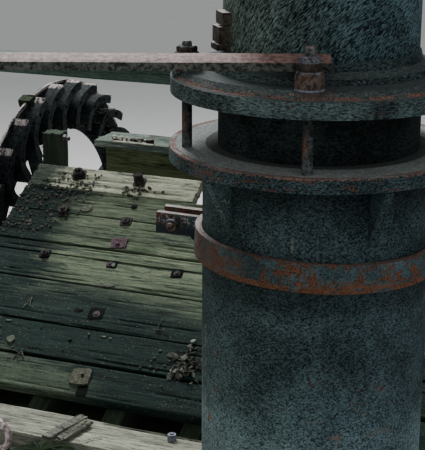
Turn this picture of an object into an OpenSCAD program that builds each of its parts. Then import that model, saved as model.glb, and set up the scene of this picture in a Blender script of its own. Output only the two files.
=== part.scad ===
// Derelict iron water wheel beside a sloping timber apron, with an iron riser pipe.
// Millimetres, +Z up, +X along the boards and the axle, +Y away from the pipe's front.
// The origin is the centre of the pipe's foot on the ground.

/* [Riser pipe] */
// Outer radius of the fixed lower pipe
riser_r = 310; // [290:1:330]
// Wall of the fixed lower pipe
riser_wall = 25; // [15:1:35]
// Height of the top face of the lower pipe's upper flange
riser_top = 2126; // [2050:1:2200]
// Radius of the lower pipe's upper flange
riser_flange_r = 400; // [380:1:420]
// Thickness of the lower pipe's upper flange
riser_flange_t = 38; // [25:1:45]
// Radius of the foot flange
foot_r = 420; // [400:1:460]
// Thickness of the foot flange
foot_t = 40; // [25:1:60]
// Radius of the circle of foot bolt holes
foot_pitch_r = 370; // [355:1:380]
// Radius of a foot bolt hole
foot_hole_r = 14; // [9:0.5:18]
// Number of foot bolt holes
foot_holes = 8; // [4:1:12]
// Number of stiffening ribs under the upper flange
rib_count = 5; // [3:1:8]
// Height of a stiffening rib
rib_h = 150; // [80:1:200]
// Thickness of a stiffening rib
rib_t = 24; // [15:1:35]

/* [Sliding pipe] */
// Outer radius of the upper pipe
pipe_r = 258; // [245:1:262]
// Wall of the upper pipe
pipe_wall = 22; // [12:1:30]
// Height of the top face of the upper pipe
pipe_top = 2980; // [2800:1:3200]
// How deep the upper pipe reaches below the stuffing box floor
pipe_dip = 60; // [20:1:150]
// Radius of the upper pipe's top flange
pipe_flange_r = 340; // [320:1:360]
// Thickness of the upper pipe's top flange
pipe_flange_t = 34; // [20:1:45]
// Radius of the circle of top bolt holes
pipe_pitch_r = 305; // [295:1:315]
// Radius of a top bolt hole
pipe_hole_r = 12; // [8:0.5:14]
// Number of top bolt holes
pipe_holes = 8; // [4:1:12]

/* [Side lug] */
// Width of the cast lug on the upper pipe
lug_w = 64; // [50:1:80]
// Height of the lug's base
lug_base_h = 19; // [12:1:30]
// Reach of the base beyond the pipe
lug_base_out = 34; // [32:1:40]
// Height of the lug's middle step
lug_mid_h = 45; // [30:1:60]
// Reach of the middle step beyond the pipe
lug_mid_out = 30; // [25:1:32]
// Height of the lug's head
lug_head_h = 36; // [25:1:50]
// Reach of the head beyond the pipe
lug_head_out = 21; // [15:1:24]

/* [Gland] */
// Radius of the gland flange
gland_r = 396; // [385:1:410]
// Thickness of the gland flange at its rim
gland_t = 42; // [30:1:50]
// Clear gap between the gland flange and the flange below it
gland_gap = 142; // [110:1:170]
// Radius of the edge of the gland's raised face
gland_face_r = 366; // [355:1:375]
// Height of the raised face
gland_face_h = 22; // [15:1:30]
// Outer radius of the gland's nose
nose_r = 269; // [266:1:274]
// Depth of the nose inside the stuffing box
nose_depth = 30; // [20:1:50]
// Depth of the packing below the nose
packing_h = 80; // [40:1:100]
// Clearance between pieces that slide past each other
slide_gap = 0.3; // [0.1:0.1:0.5]

/* [Gland studs] */
// Number of studs
stud_count = 5; // [3:1:6]
// Radius of the stud circle
stud_pitch_r = 355; // [350:1:358]
// Radius of a stud
stud_r = 14; // [10:0.5:15]
// Depth of a stud in the lower flange
stud_depth = 30; // [20:1:34]
// Length of a stud above the raised face
stud_free = 107; // [100:1:120]
// Radius of the plain washer
washer_r = 38; // [36.5:0.5:38.5]
// Thickness of the plain washer
washer_t = 5; // [3:0.5:8]
// Radius of the lower nut across its corners
nut_r = 35.5; // [34:0.5:36]
// Height of the lower nut
nut_h = 42; // [36:1:44]
// Radius of the upper nut across its corners
lock_nut_r = 28; // [24:0.5:30]
// Height of the upper nut
lock_nut_h = 36; // [25:1:40]
// Length of the left stud above the raised face
left_stud_free = 75; // [70:1:120]
// Height of the left stud's thin upper nut
left_lock_nut_h = 15; // [12:1:20]

/* [Clamp hoop] */
// Height of the middle of the hoop
hoop_z = 1849; // [1780:1:1900]
// Height of the hoop's band
hoop_h = 80; // [60:1:100]
// Thickness of the hoop's band
hoop_t = 21; // [12:1:24]
// Lean of the hoop out of level, in degrees
hoop_lean = 2; // [0:0.1:2.5]
// Turn of the ears away from the pipe's left side, in degrees
hoop_turn = 18; // [10:1:25]
// Thickness of an ear
ear_t = 24; // [15:1:30]
// Space between the two ears of a pair
ear_gap = 42; // [30:1:50]
// Reach of an ear from the pipe's axis
ear_reach = 450; // [430:1:470]
// Height of an ear
ear_h = 62; // [50:1:70]
// Radius of an ear bolt
ear_bolt_r = 10; // [8:0.5:12]

/* [Tie bar] */
// Width of the flat bar
bar_w = 58; // [50:1:60]
// Thickness of the flat bar
bar_t = 25; // [16:1:26]
// Lean of the bar towards its front edge, in degrees
bar_tilt = 15; // [5:1:18]
// How far the bar's front edge lies below the tops of the lower nuts
bar_drop = 10; // [5:1:14]
// Length of the bar from its stud end to the far end
bar_len = 1720; // [1650:1:1800]
// Side of the square anchor post
anchor_side = 150; // [120:1:180]
// Length of the bar beyond its anchor bolt
anchor_tail = 120; // [100:1:150]
// Width and depth of the rail between the anchor post and the sill
anchor_rail_w = 100; // [80:1:120]
// Height of the top of that rail
anchor_rail_top = 760; // [700:1:800]
// Height where the brace meets the anchor post
brace_top = 1640; // [1500:1:1700]
// Distance of the brace's foot from the anchor post
brace_run = 780; // [700:1:820]
// Length of each of the brace's seats
brace_d = 130; // [100:1:140]
// Width of the brace
brace_w = 80; // [60:1:100]

/* [Apron] */
// Slope of the boarded apron, in degrees
apron_slope = 30; // [25:1:35]
// Distance of the apron's lower end line behind the pipe's axis
apron_y = 560; // [550:1:580]
// Height of the apron's surface at that line
apron_z = 929; // [900:1:960]
// Distance from that line up the slope to the first board
apron_start = 45; // [30:1:60]
// Thickness of a board
board_t = 45; // [30:1:50]
// Width of the first board from below, with its seam
board_1_w = 160; // [120:1:200]
// Width of the second board
board_2_w = 160; // [120:1:200]
// Width of the third board
board_3_w = 210; // [150:1:230]
// Width of the fourth board
board_4_w = 138; // [100:1:180]
// Width of the fifth board, a narrow strip
board_5_w = 60; // [40:1:100]
// Width of the sixth board
board_6_w = 170; // [120:1:200]
// Width of the seventh board
board_7_w = 140; // [100:1:180]
// Width of the broken top board
board_8_w = 136; // [100:1:160]
// Seam between two boards
seam = 4; // [2:0.5:8]
// X of the left ends of the boards
apron_left = -1790; // [-1800:1:-1750]
// X of the right ends of the boards
apron_right = 750; // [700:1:900]
// X where the top board is broken off
broken_x = -995; // [-1100:1:-950]
// Width of a bearer
bearer_w = 75; // [60:1:100]
// Depth of a bearer
bearer_d = 150; // [120:1:180]
// Spacing of the bearers
bearer_step = 305; // [280:1:320]
// Distance from the boards' left ends to the middle of the first bearer
bearer_inset = 250; // [200:1:300]
// Depth of the two cross beams under the bearers
cross_d = 150; // [120:1:160]
// Width of the two cross beams
cross_w = 150; // [120:1:160]
// Distance up the slope to the front cross beam
front_cross_at = 60; // [45:1:100]
// Distance up the slope to the rear cross beam
rear_cross_at = 1000; // [950:1:1020]
// Width of a supporting post
post_w = 130; // [100:1:150]
// Distance from the boards' left ends to the first posts
post_inset = 100; // [60:1:150]

/* [Sill and head beam] */
// Depth of the front sill from front to back
sill_w = 195; // [150:1:200]
// Thickness of the front sill
sill_t = 75; // [50:1:100]
// Height of the top of the front sill
sill_top = 909; // [880:1:920]
// Distance of the sill's back edge in front of the apron's lower end line
sill_setback = 20; // [10:1:40]
// How far the sill runs past the boards' left ends
sill_over = 60; // [20:1:100]
// Width of a sill post
sill_post_w = 110; // [90:1:130]
// Side of the head beam
head_side = 140; // [120:1:150]
// Height of the top of the head beam
head_top = 1609; // [1580:1:1640]
// Distance from the boards' left ends to the head beam's left end
head_inset = 270; // [200:1:300]
// Distance from the head beam's ends to the outer head posts
head_post_inset = 80; // [40:1:120]
// Thickness of the cap plank
cap_t = 35; // [25:1:45]
// Overhang of the cap plank in front of the head beam
cap_front = 30; // [10:1:40]
// Overhang of the cap plank behind the head beam
cap_back = 20; // [10:1:40]
// Overhang of the cap plank beyond the head beam's left end
cap_over = 55; // [20:1:80]
// Side of the short corner post
corner_side = 90; // [80:1:110]
// Height of the short corner post
corner_top = 1652; // [1600:1:1700]
// How far the corner post stands left of the boards' left ends
corner_out = 42; // [20:1:60]
// Side of the long rear rail
rail_side = 88; // [80:1:100]
// Height of the underside of the rear rail
rail_z = 1902; // [1860:1:1950]
// Radius of the mossy round pile
pile_r = 135; // [110:1:140]
// Height of the mossy round pile
pile_top = 880; // [840:1:900]
// Distance from the boards' left ends to the middle of the pile
pile_at = 780; // [700:1:850]

/* [Wheel] */
// Radius over the tips of the vanes
wheel_r = 800; // [760:1:820]
// Inner radius of the vane ring
ring_r = 562; // [540:1:580]
// X of the wheel's right side
wheel_x = -1940; // [-1960:1:-1930]
// Width of the wheel along the axle
wheel_w = 80; // [60:1:100]
// Distance of the axle behind the pipe's axis
axle_y = 2200; // [2180:1:2220]
// Height of the axle
axle_z = 985; // [960:1:1010]
// Number of vanes
vane_count = 28; // [20:1:32]
// Thickness of a vane
vane_t = 8; // [5:0.5:10]
// Sweep of a vane round the wheel, in degrees
vane_sweep = 15.5; // [12:0.5:17]
// Width of the turned flange on a vane's right side
lip_w = 42; // [30:1:45]
// Thickness of that flange
lip_t = 8; // [5:0.5:12]
// Thickness of the ring plate
plate_t = 12; // [8:1:16]
// Number of arms
arm_count = 4; // [4:1:6]
// Width of an arm
arm_w = 80; // [60:1:100]
// Thickness of an arm
arm_t = 28; // [20:1:40]
// Overlap of an arm on the ring plate
arm_lap = 70; // [50:1:120]
// Radius of the hub
hub_r = 115; // [95:1:130]
// Length of the hub
hub_len = 150; // [120:1:180]
// Radius of the axle
axle_r = 45; // [35:1:55]
// Overhang of the axle beyond each bearing
axle_over = 60; // [40:1:90]
// Running clearance of the axle in its bearings
run_gap = 0.05; // [0.02:0.01:0.1]
// Width of a bearing along the axle
bearing_w = 110; // [90:1:120]
// Height of the axle above a bearing's seat
bearing_h = 80; // [72:1:95]
// Thickness of a bearing's foot
bearing_foot_t = 30; // [20:1:40]
// Distance from the wheel's left side to the left bearing
left_gap = 230; // [200:1:260]
// Distance from the wheel's right side to the right bearing
right_gap = 250; // [220:1:280]
// Depth of a beam under a bearing
bearing_beam_d = 130; // [100:1:150]
// How far the bearing beams run behind the axle
beam_reach = 480; // [400:1:520]

/* [Hidden] */
$fn = 96;
// Turn of the pipe fittings about the pipe's axis
turn = 22;
e = 1;
// Heights of the gland joint, from the lower flange up
gland_z = riser_top + gland_gap;
gland_top = gland_z + gland_t;
face_z = gland_top + gland_face_h;
collar_h = 15;
collar_z = face_z + collar_h;
collar_r = 292;
rim_edge = 12;
rim_rise = 5;
nose_z = riser_top - nose_depth;
packing_z = nose_z - packing_h;
box_r = nose_r + slide_gap;
floor_t = 20;
floor_taper = 25;
sleeve_gap = 4;
foot_fillet_w = 30;
foot_fillet_h = 40;
top_fillet_w = 20;
top_fillet_h = 25;
// A rib stops short of the flange's rim and thins out down the pipe
rib_setback = 12;
rib_edge_h = 15;
rib_toe = 4;
// The first stud stands a little left of the front
stud_turn = -8.7;
// Hairline between timbers that rest on each other
hair = 0.1;
rib_turn = stud_turn - 41;
lock_z = face_z + washer_t + nut_h;
bar_z = lock_z - bar_drop;
bar_y = -(pipe_r + 2) - bar_w * cos(bar_tilt);
fillet_r = pipe_r + 4;
fillet_z = bar_z + (-fillet_r - bar_y) * tan(bar_tilt);
// The lug stands a little above the gland's fillet
lug_z = fillet_z + 2;
lug_turn = -164;
lug_root = 20;
// Hoop
hoop_r = riser_r + 1.6;
hoop_out = hoop_r + hoop_t;
ear_z = (hoop_h - ear_h) / 2;
ear_root = 6;
ear_shoulder = 14;
ear_bolt_inset = 50;
ear_bolt_at = ear_reach - ear_bolt_inset;
band_gap = 6;
ear_nut_r = 20;
ear_nut_h = 16;
// Bar and its anchor, in the frame of the pipe's fittings
bar_end_x = 2;
anchor_x = bar_end_x - bar_len + anchor_tail;
anchor_y = bar_y + bar_w / 2 * cos(bar_tilt);
anchor_c = [anchor_x * cos(turn) - anchor_y * sin(turn),
            anchor_x * sin(turn) + anchor_y * cos(turn)];
anchor_bolt_r = 12;
anchor_bolt_depth = 150;
anchor_bolt_free = 40;
anchor_nut_r = 24;
anchor_nut_h = 22;
anchor_back = anchor_c[1] + anchor_side / 2;
// Apron boards, from the lower edge up
board_w = [board_1_w, board_2_w, board_3_w, board_4_w,
           board_5_w, board_6_w, board_7_w, board_8_w];
apron_len = apron_start + sum_to(board_w, len(board_w));
bearer_x = apron_left + bearer_inset;
bearer_count = floor((apron_right - bearer_x - bearer_w) / bearer_step) + 1;
cross_drop = board_t + bearer_d;
post_xs = spread(apron_left + post_inset, apron_right - post_w);
// Head beam and the posts behind the rear ones
head_y = slope_y(rear_cross_at + cross_w, cross_drop + cross_d);
head_left = apron_left + head_inset;
head_post_xs = spread(head_left + head_post_inset, apron_right - head_post_inset - post_w);
corner_x = apron_left - corner_out;
corner_bolt_r = 11;
corner_bolt_drop = 35;
corner_bolt_out = 30;
corner_plate_r = 22;
corner_plate_t = 18;
sill_y = apron_y - sill_setback - sill_w;
sill_post_y = sill_y + (sill_w - sill_post_w) / 2;
sill_left = apron_left - sill_over;
pile_x = apron_left + pile_at;
pile_y = sill_y - pile_r - hair;
// Wheel
plate_x = wheel_x - wheel_w;
vane_first = 4;
vane_left = plate_x + plate_t;
vane_right = wheel_x - lip_t;
vane_steps = 8;
vane_power = 3.25;
arm_x = plate_x - arm_t;
arm_reach = ring_r + arm_lap;
arm_turn = 22;
hub_out = 16;
bearing_left_x = plate_x - left_gap - bearing_w;
bearing_right_x = wheel_x + right_gap;
bearing_edge = 4;
bearing_half_y = bearing_h - bearing_edge;
axle_left = bearing_left_x - axle_over;
axle_len = bearing_right_x + bearing_w + axle_over - axle_left;
rail_left = bearing_left_x;
beam_lip = 10;
beam_w = bearing_w + 2 * beam_lip;
beam_top = axle_z - bearing_h;
beam_back = axle_y + beam_reach;

// Three places: at both ends and midway
function spread(first, last) = [first, (first + last) / 2, last];
function sum_to(list, n) = n == 0 ? 0 : list[n - 1] + sum_to(list, n - 1);
// Point of the apron at a distance up the slope and a depth below the surface
function slope_y(along, drop) = apron_y + along * cos(apron_slope) + drop * sin(apron_slope);
function slope_z(along, drop) = apron_z + along * sin(apron_slope) - drop * cos(apron_slope);
function slope_at(y, drop) = apron_z + (y - apron_y) * tan(apron_slope) - drop / cos(apron_slope);
// Centre line of a vane in the wheel's plane, from the tip inwards
function vane_point(r, a) = [r * cos(a + vane_angle(r)), r * sin(a + vane_angle(r))];
function vane_angle(r) = vane_sweep * (1 - pow((r - ring_r) / (wheel_r - ring_r), vane_power));
function vane_radius(i) = wheel_r - (wheel_r - ring_r) * i / vane_steps;
function vane_normal(i, a) =
    let (p = vane_point(min(vane_radius(i) + 2, wheel_r), a),
         q = vane_point(max(vane_radius(i) - 2, ring_r), a),
         d = q - p)
    [-d[1], d[0]] / norm(d);
function vane_side(a, off) =
    [for (i = [0:vane_steps]) vane_point(vane_radius(i), a) + off * vane_normal(i, a)];
function reversed(list) = [for (i = [len(list) - 1:-1:0]) list[i]];

// Places children in the frame of the pipe's fittings
module fittings() {
    rotate([0, 0, turn]) children();
}

// Sloping timber between two places along the apron, from one depth to another
module slope_timber(x0, x1, a0, a1, d0, d1) {
    translate([0, apron_y, apron_z])
        rotate([apron_slope, 0, 0])
            translate([x0, a0, -d1])
                cube([x1 - x0, a1 - a0, d1 - d0]);
}

// Upright post under a cross beam, its top cut to the slope
module raking_post(x, a0) {
    y0 = slope_y(a0, cross_drop + cross_d);
    z0 = slope_z(a0, cross_drop + cross_d);
    y1 = slope_y(a0 + cross_w, cross_drop + cross_d);
    z1 = slope_z(a0 + cross_w, cross_drop + cross_d);
    translate([x, 0, 0])
        rotate([90, 0, 90])
            linear_extrude(post_w)
                polygon([[y0, 0], [y1, 0], [y1, z1], [y0, z0]]);
}

// Places children at the five studs
module at_studs(z) {
    fittings()
        for (i = [0:stud_count - 1])
            rotate([0, 0, stud_turn + i * 360 / stud_count])
                translate([0, -stud_pitch_r, z])
                    children();
}

module hole_circle(n, r, hole, z0, z1) {
    for (i = [0:n - 1])
        rotate([0, 0, (i + 0.5) * 360 / n])
            translate([r, 0, z0])
                cylinder(r = hole, h = z1 - z0, $fn = 32);
}

module nut(r, h) {
    cylinder(r = r, h = h, $fn = 6);
}

// One rib under the lower pipe's upper flange, reaching a little into both
module rib(a) {
    z1 = riser_top - riser_flange_t;
    rotate([0, 0, a - 90])
        translate([0, rib_t / 2, 0])
            rotate([90, 0, 0])
                linear_extrude(rib_t)
                    polygon([[riser_r - rib_toe, z1 + e], [riser_flange_r - rib_setback, z1 + e],
                             [riser_flange_r - rib_setback, z1 - rib_edge_h],
                             [riser_r + rib_toe, z1 - rib_h], [riser_r - rib_toe, z1 - rib_h]]);
}

module riser_pipe() {
    bore = riser_r - riser_wall;
    color("darkslategray")
        difference() {
            union() {
                rotate_extrude()
                    polygon([[bore, 0], [foot_r, 0], [foot_r, foot_t],
                             [riser_r + foot_fillet_w, foot_t], [riser_r, foot_t + foot_fillet_h],
                             [riser_r, riser_top - riser_flange_t],
                             [riser_flange_r, riser_top - riser_flange_t],
                             [riser_flange_r, riser_top], [box_r, riser_top],
                             [box_r, packing_z], [pipe_r + sleeve_gap, packing_z],
                             [pipe_r + sleeve_gap, packing_z - floor_t],
                             [bore, packing_z - floor_t - floor_taper]]);
                fittings()
                    for (i = [0:rib_count - 1])
                        rib(rib_turn + i * 360 / rib_count);
            }
            hole_circle(foot_holes, foot_pitch_r, foot_hole_r, -e, foot_t + e);
            at_studs(riser_top - stud_depth)
                cylinder(r = stud_r, h = stud_depth + e, $fn = 48);
        }
}

module upper_pipe() {
    color("slategray")
        difference() {
            rotate_extrude()
                polygon([[pipe_r - pipe_wall, packing_z - pipe_dip], [pipe_r, packing_z - pipe_dip],
                         [pipe_r, pipe_top - pipe_flange_t - top_fillet_h],
                         [pipe_r + top_fillet_w, pipe_top - pipe_flange_t],
                         [pipe_flange_r, pipe_top - pipe_flange_t], [pipe_flange_r, pipe_top],
                         [pipe_r - pipe_wall, pipe_top]]);
            hole_circle(pipe_holes, pipe_pitch_r, pipe_hole_r,
                        pipe_top - pipe_flange_t - e, pipe_top + e);
        }
}

module gland() {
    bore = pipe_r + slide_gap;
    color("darkslategray")
        difference() {
            union() {
                at_studs(gland_top - 20)
                    cylinder(r = washer_r + 1, h = face_z - gland_top + 20, $fn = 48);
                rotate_extrude()
                    polygon([[bore, nose_z], [nose_r, nose_z], [nose_r, gland_z], [gland_r, gland_z],
                             [gland_r, gland_top], [gland_r - rim_edge, gland_top + rim_rise],
                             [gland_face_r, face_z], [collar_r + 6, face_z],
                             [collar_r, collar_z], [pipe_r + 22, collar_z + 5],
                             [pipe_r + 9, collar_z + 14], [fillet_r, fillet_z],
                             [bore, fillet_z]]);
            }
            at_studs(gland_z - e)
                cylinder(r = stud_r + 1, h = face_z - gland_z + 2 * e, $fn = 48);
        }
}

module packing_ring() {
    color("tan")
        rotate_extrude()
            polygon([[pipe_r + slide_gap, packing_z], [nose_r, packing_z],
                     [nose_r, nose_z], [pipe_r + slide_gap, nose_z]]);
}

// Cast lug on the left front of the upper pipe, narrowing in three steps
module side_lug() {
    steps = [[0, lug_base_h, lug_base_out], [lug_base_h, lug_mid_h, lug_mid_out],
             [lug_base_h + lug_mid_h, lug_head_h, lug_head_out]];
    color("dimgray")
        fittings()
            rotate([0, 0, lug_turn])
                difference() {
                    for (s = steps)
                        translate([pipe_r - lug_root, -lug_w / 2, lug_z + s[0]])
                            cube([lug_root + s[2], lug_w, s[1]]);
                    cylinder(r = pipe_r, h = pipe_top);
                }
}

// Stud with its washer and two nuts, the nuts square to the tie bar
module gland_stud(i) {
    a = stud_turn + i * 360 / stud_count;
    left = i == stud_count - 1;
    free = left ? left_stud_free : stud_free;
    color("sienna")
        fittings()
            translate([stud_pitch_r * sin(a), -stud_pitch_r * cos(a), 0]) {
                translate([0, 0, riser_top - stud_depth])
                    cylinder(r = stud_r, h = stud_depth + face_z - riser_top + free, $fn = 48);
                translate([0, 0, face_z])
                    cylinder(r = washer_r, h = washer_t, $fn = 48);
                translate([0, 0, face_z + washer_t])
                    nut(nut_r, nut_h);
                translate([0, 0, lock_z])
                    nut(lock_nut_r, left ? left_lock_nut_h : lock_nut_h);
            }
}

// Places children in the frame of the leaning hoop, at its middle
module hoop_frame() {
    fittings()
        translate([0, 0, hoop_z])
            rotate([0, hoop_lean, 0])
                rotate([0, 0, -hoop_turn])
                    children();
}

// Band of half the hoop with an ear at each end, front half for side = -1
module hoop_half(side) {
    hoop_frame()
        difference() {
            union() {
                intersection() {
                    cylinder(r = hoop_out, h = hoop_h, center = true);
                    translate([-hoop_out - e, side > 0 ? band_gap : -hoop_out - e, -hoop_h])
                        cube([2 * hoop_out + 2 * e, hoop_out + e - band_gap, 2 * hoop_h]);
                }
                for (m = [0, 1])
                    mirror([m, 0, 0])
                        translate([0, side * (ear_gap + ear_t) / 2, 0])
                            ear();
            }
            cylinder(r = hoop_r, h = 2 * hoop_h, center = true);
            for (m = [-1, 1])
                translate([m * ear_bolt_at, 0, ear_z])
                    rotate([90, 0, 0])
                        cylinder(r = ear_bolt_r, h = 2 * hoop_h, center = true, $fn = 32);
        }
}

// Upright ear plate, flush with the band's top edge
module ear() {
    translate([0, ear_t / 2, 0])
        rotate([90, 0, 0])
            linear_extrude(ear_t)
                polygon([[-hoop_out + ear_root, -hoop_h / 2],
                         [-hoop_out - ear_shoulder, ear_z - ear_h / 2],
                         [-ear_reach, ear_z - ear_h / 2], [-ear_reach, ear_z + ear_h / 2],
                         [-hoop_out + ear_root, ear_z + ear_h / 2]]);
}

module hoop_front() {
    color("chocolate") hoop_half(-1);
}

module hoop_back() {
    color("chocolate") hoop_half(1);
}

// Bolts through the ears, with a head and a nut
module hoop_bolts() {
    half = ear_gap / 2 + ear_t;
    color("sienna")
        hoop_frame()
            for (m = [-1, 1])
                translate([m * ear_bolt_at, 0, ear_z])
                    rotate([90, 0, 0]) {
                        translate([0, 0, -half - ear_nut_h])
                            nut(ear_nut_r, ear_nut_h);
                        translate([0, 0, -half - ear_nut_h / 2])
                            cylinder(r = ear_bolt_r, h = 2 * half + 2.4 * ear_nut_h, $fn = 32);
                        translate([0, 0, half])
                            nut(ear_nut_r, ear_nut_h);
                    }
}

// Places children on the bar: x along it, y from its front edge, z up from its underside
module bar_frame() {
    fittings()
        translate([0, bar_y, bar_z])
            rotate([bar_tilt, 0, 0])
                children();
}

module tie_bar() {
    color("rosybrown")
        bar_frame()
            difference() {
                translate([bar_end_x - bar_len, 0, 0])
                    cube([bar_len, bar_w, bar_t]);
                translate([anchor_x, bar_w / 2, -e])
                    cylinder(r = anchor_bolt_r, h = bar_t + 2 * e, $fn = 48);
            }
}

// Square post, its top cut to the bar's lean
module anchor_post() {
    color("darkolivegreen")
        difference() {
            translate([anchor_c[0] - anchor_side / 2, anchor_c[1] - anchor_side / 2, 0])
                cube([anchor_side, anchor_side, bar_z + 60]);
            bar_frame() {
                translate([anchor_x - anchor_side, -anchor_side, 0])
                    cube([2 * anchor_side, 3 * anchor_side, 200]);
                translate([anchor_x, bar_w / 2, -anchor_bolt_depth])
                    cylinder(r = anchor_bolt_r, h = anchor_bolt_depth + e, $fn = 48);
            }
        }
}

module anchor_bolt() {
    color("sienna")
        bar_frame()
            translate([anchor_x, bar_w / 2, 0]) {
                translate([0, 0, -anchor_bolt_depth])
                    cylinder(r = anchor_bolt_r, h = anchor_bolt_depth + bar_t + anchor_bolt_free,
                             $fn = 48);
                translate([0, 0, bar_t])
                    nut(anchor_nut_r, anchor_nut_h);
            }
}

// Level rail from the anchor post to the first sill post
module anchor_rail() {
    color("darkolivegreen")
        translate([anchor_c[0] - anchor_rail_w / 2, anchor_back, anchor_rail_top - anchor_rail_w])
            cube([anchor_rail_w, sill_post_y - hair - anchor_back, anchor_rail_w]);
}

// Brace from the rail up to the anchor post
module anchor_brace() {
    color("darkolivegreen")
        translate([anchor_c[0] - brace_w / 2, anchor_back, 0])
            rotate([90, 0, 90])
                linear_extrude(brace_w)
                    polygon([[0, brace_top - brace_d], [0, brace_top],
                             [brace_run, anchor_rail_top],
                             [brace_run - brace_d, anchor_rail_top]]);
}

// Boards laid up the slope, the top one broken off short
module apron_boards() {
    color("darkseagreen")
        for (i = [0:len(board_w) - 1])
            slope_timber(apron_left, i == len(board_w) - 1 ? broken_x : apron_right,
                         apron_start + sum_to(board_w, i),
                         apron_start + sum_to(board_w, i + 1) - seam, 0, board_t);
}

// Bearers under the boards, cut upright where they meet the sill
module apron_bearers() {
    top = board_t + hair;
    under = cross_drop - hair;
    sill_back = sill_y + sill_w;
    color("darkolivegreen")
        for (i = [0:bearer_count - 1])
            translate([bearer_x + i * bearer_step - bearer_w / 2, 0, 0])
                rotate([90, 0, 90])
                    linear_extrude(bearer_w)
                        polygon([[sill_back, slope_at(sill_back, top)],
                                 [slope_y(apron_len, top), slope_z(apron_len, top)],
                                 [slope_y(apron_len, under), slope_z(apron_len, under)],
                                 [sill_back, slope_at(sill_back, under)]]);
}

module front_cross_beam() {
    color("darkolivegreen")
        slope_timber(apron_left, apron_right, front_cross_at, front_cross_at + cross_w,
                     cross_drop, cross_drop + cross_d);
}

module rear_cross_beam() {
    color("darkolivegreen")
        slope_timber(apron_left, apron_right, rear_cross_at, rear_cross_at + cross_w,
                     cross_drop, cross_drop + cross_d);
}

module front_posts() {
    color("darkolivegreen")
        for (x = post_xs)
            raking_post(x, front_cross_at);
}

module rear_posts() {
    color("darkolivegreen")
        for (x = post_xs)
            raking_post(x, rear_cross_at);
}

module sill_beam() {
    color("wheat")
        translate([sill_left, sill_y, sill_top - sill_t])
            cube([apron_right - sill_left, sill_w, sill_t]);
}

module sill_posts() {
    color("darkolivegreen")
        for (x = [anchor_c[0], post_xs[1], post_xs[2]])
            translate([x - sill_post_w / 2, sill_post_y, 0])
                cube([sill_post_w, sill_post_w, sill_top - sill_t]);
}

module head_beam() {
    color("darkolivegreen")
        translate([head_left, head_y, head_top - head_side])
            cube([apron_right - head_left, head_side, head_side]);
}

module head_cap() {
    color("gray")
        translate([head_left - cap_over, head_y - cap_front, head_top])
            cube([apron_right - head_left + cap_over, head_side + cap_front + cap_back, cap_t]);
}

module head_posts() {
    color("darkolivegreen")
        for (x = head_post_xs)
            translate([x, head_y, 0])
                cube([post_w, head_side, head_top - head_side]);
}

// Places children inside the corner post's head, z pointing to the right
module corner_bolt_place() {
    translate([corner_x + corner_side / 2, head_y + corner_side / 2,
               corner_top - corner_bolt_drop])
        rotate([0, 90, 0])
            children();
}

module corner_post() {
    color("darkolivegreen")
        difference() {
            translate([corner_x, head_y, 0])
                cube([corner_side, corner_side, corner_top]);
            corner_bolt_place()
                cylinder(r = corner_bolt_r, h = corner_side, $fn = 32);
        }
}

// Bolt through the corner post with a round plate on its end
module corner_bolt() {
    color("sienna")
        corner_bolt_place() {
            cylinder(r = corner_bolt_r, h = corner_side / 2 + corner_bolt_out, $fn = 32);
            translate([0, 0, corner_side / 2])
                cylinder(r = corner_plate_r, h = corner_plate_t, $fn = 32);
        }
}

module rear_rail() {
    color("darkolivegreen")
        translate([rail_left, head_y, rail_z])
            cube([apron_right - rail_left, rail_side, rail_side]);
}

module rail_post_left() {
    color("darkolivegreen")
        translate([rail_left, head_y, 0])
            cube([rail_side, rail_side, rail_z]);
}

module rail_post_right() {
    color("darkolivegreen")
        translate([apron_right - rail_side, head_y, head_top + cap_t])
            cube([rail_side, rail_side, rail_z - head_top - cap_t]);
}

// Round pile with a worn top, in front of the sill
module fender_pile() {
    color("darkgreen")
        translate([pile_x, pile_y, 0])
            rotate_extrude($fn = 48)
                polygon([[0, 0], [pile_r, 0], [pile_r, pile_top - 25], [pile_r * 0.85, pile_top - 8],
                         [pile_r * 0.5, pile_top], [0, pile_top]]);
}

// Places children in the wheel's plane: x away, y up, z along the axle to the right
module wheel_plane(x) {
    translate([x, axle_y, axle_z])
        rotate([90, 0, 90])
            children();
}

module wheel_ring() {
    color("dimgray")
        wheel_plane(plate_x)
            difference() {
                cylinder(r = wheel_r, h = plate_t, $fn = 112);
                translate([0, 0, -e])
                    cylinder(r = ring_r, h = plate_t + 2 * e, $fn = 112);
            }
}

// Curved vanes, each with a turned flange along its right side
module wheel_vanes() {
    color("slategray")
        for (i = [0:vane_count - 1]) {
            a = i * 360 / vane_count + vane_first;
            wheel_plane(vane_left)
                linear_extrude(vane_right - vane_left)
                    polygon(concat(vane_side(a, 0), reversed(vane_side(a, vane_t))));
            wheel_plane(vane_right)
                linear_extrude(lip_t)
                    polygon(concat(vane_side(a, 0), reversed(vane_side(a, lip_w))));
        }
}

module wheel_arms() {
    color("dimgray")
        wheel_plane(arm_x)
            difference() {
                union() {
                    for (i = [0:arm_count - 1])
                        rotate([0, 0, arm_turn + i * 360 / arm_count])
                            translate([0, -arm_w / 2, 0])
                                cube([arm_reach, arm_w, arm_t]);
                    translate([0, 0, -hub_out])
                        cylinder(r = hub_r, h = hub_len);
                }
                translate([0, 0, -hub_len])
                    cylinder(r = axle_r, h = 3 * hub_len);
            }
}

module wheel_axle() {
    color("sienna")
        wheel_plane(axle_left)
            cylinder(r = axle_r, h = axle_len);
}

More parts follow.
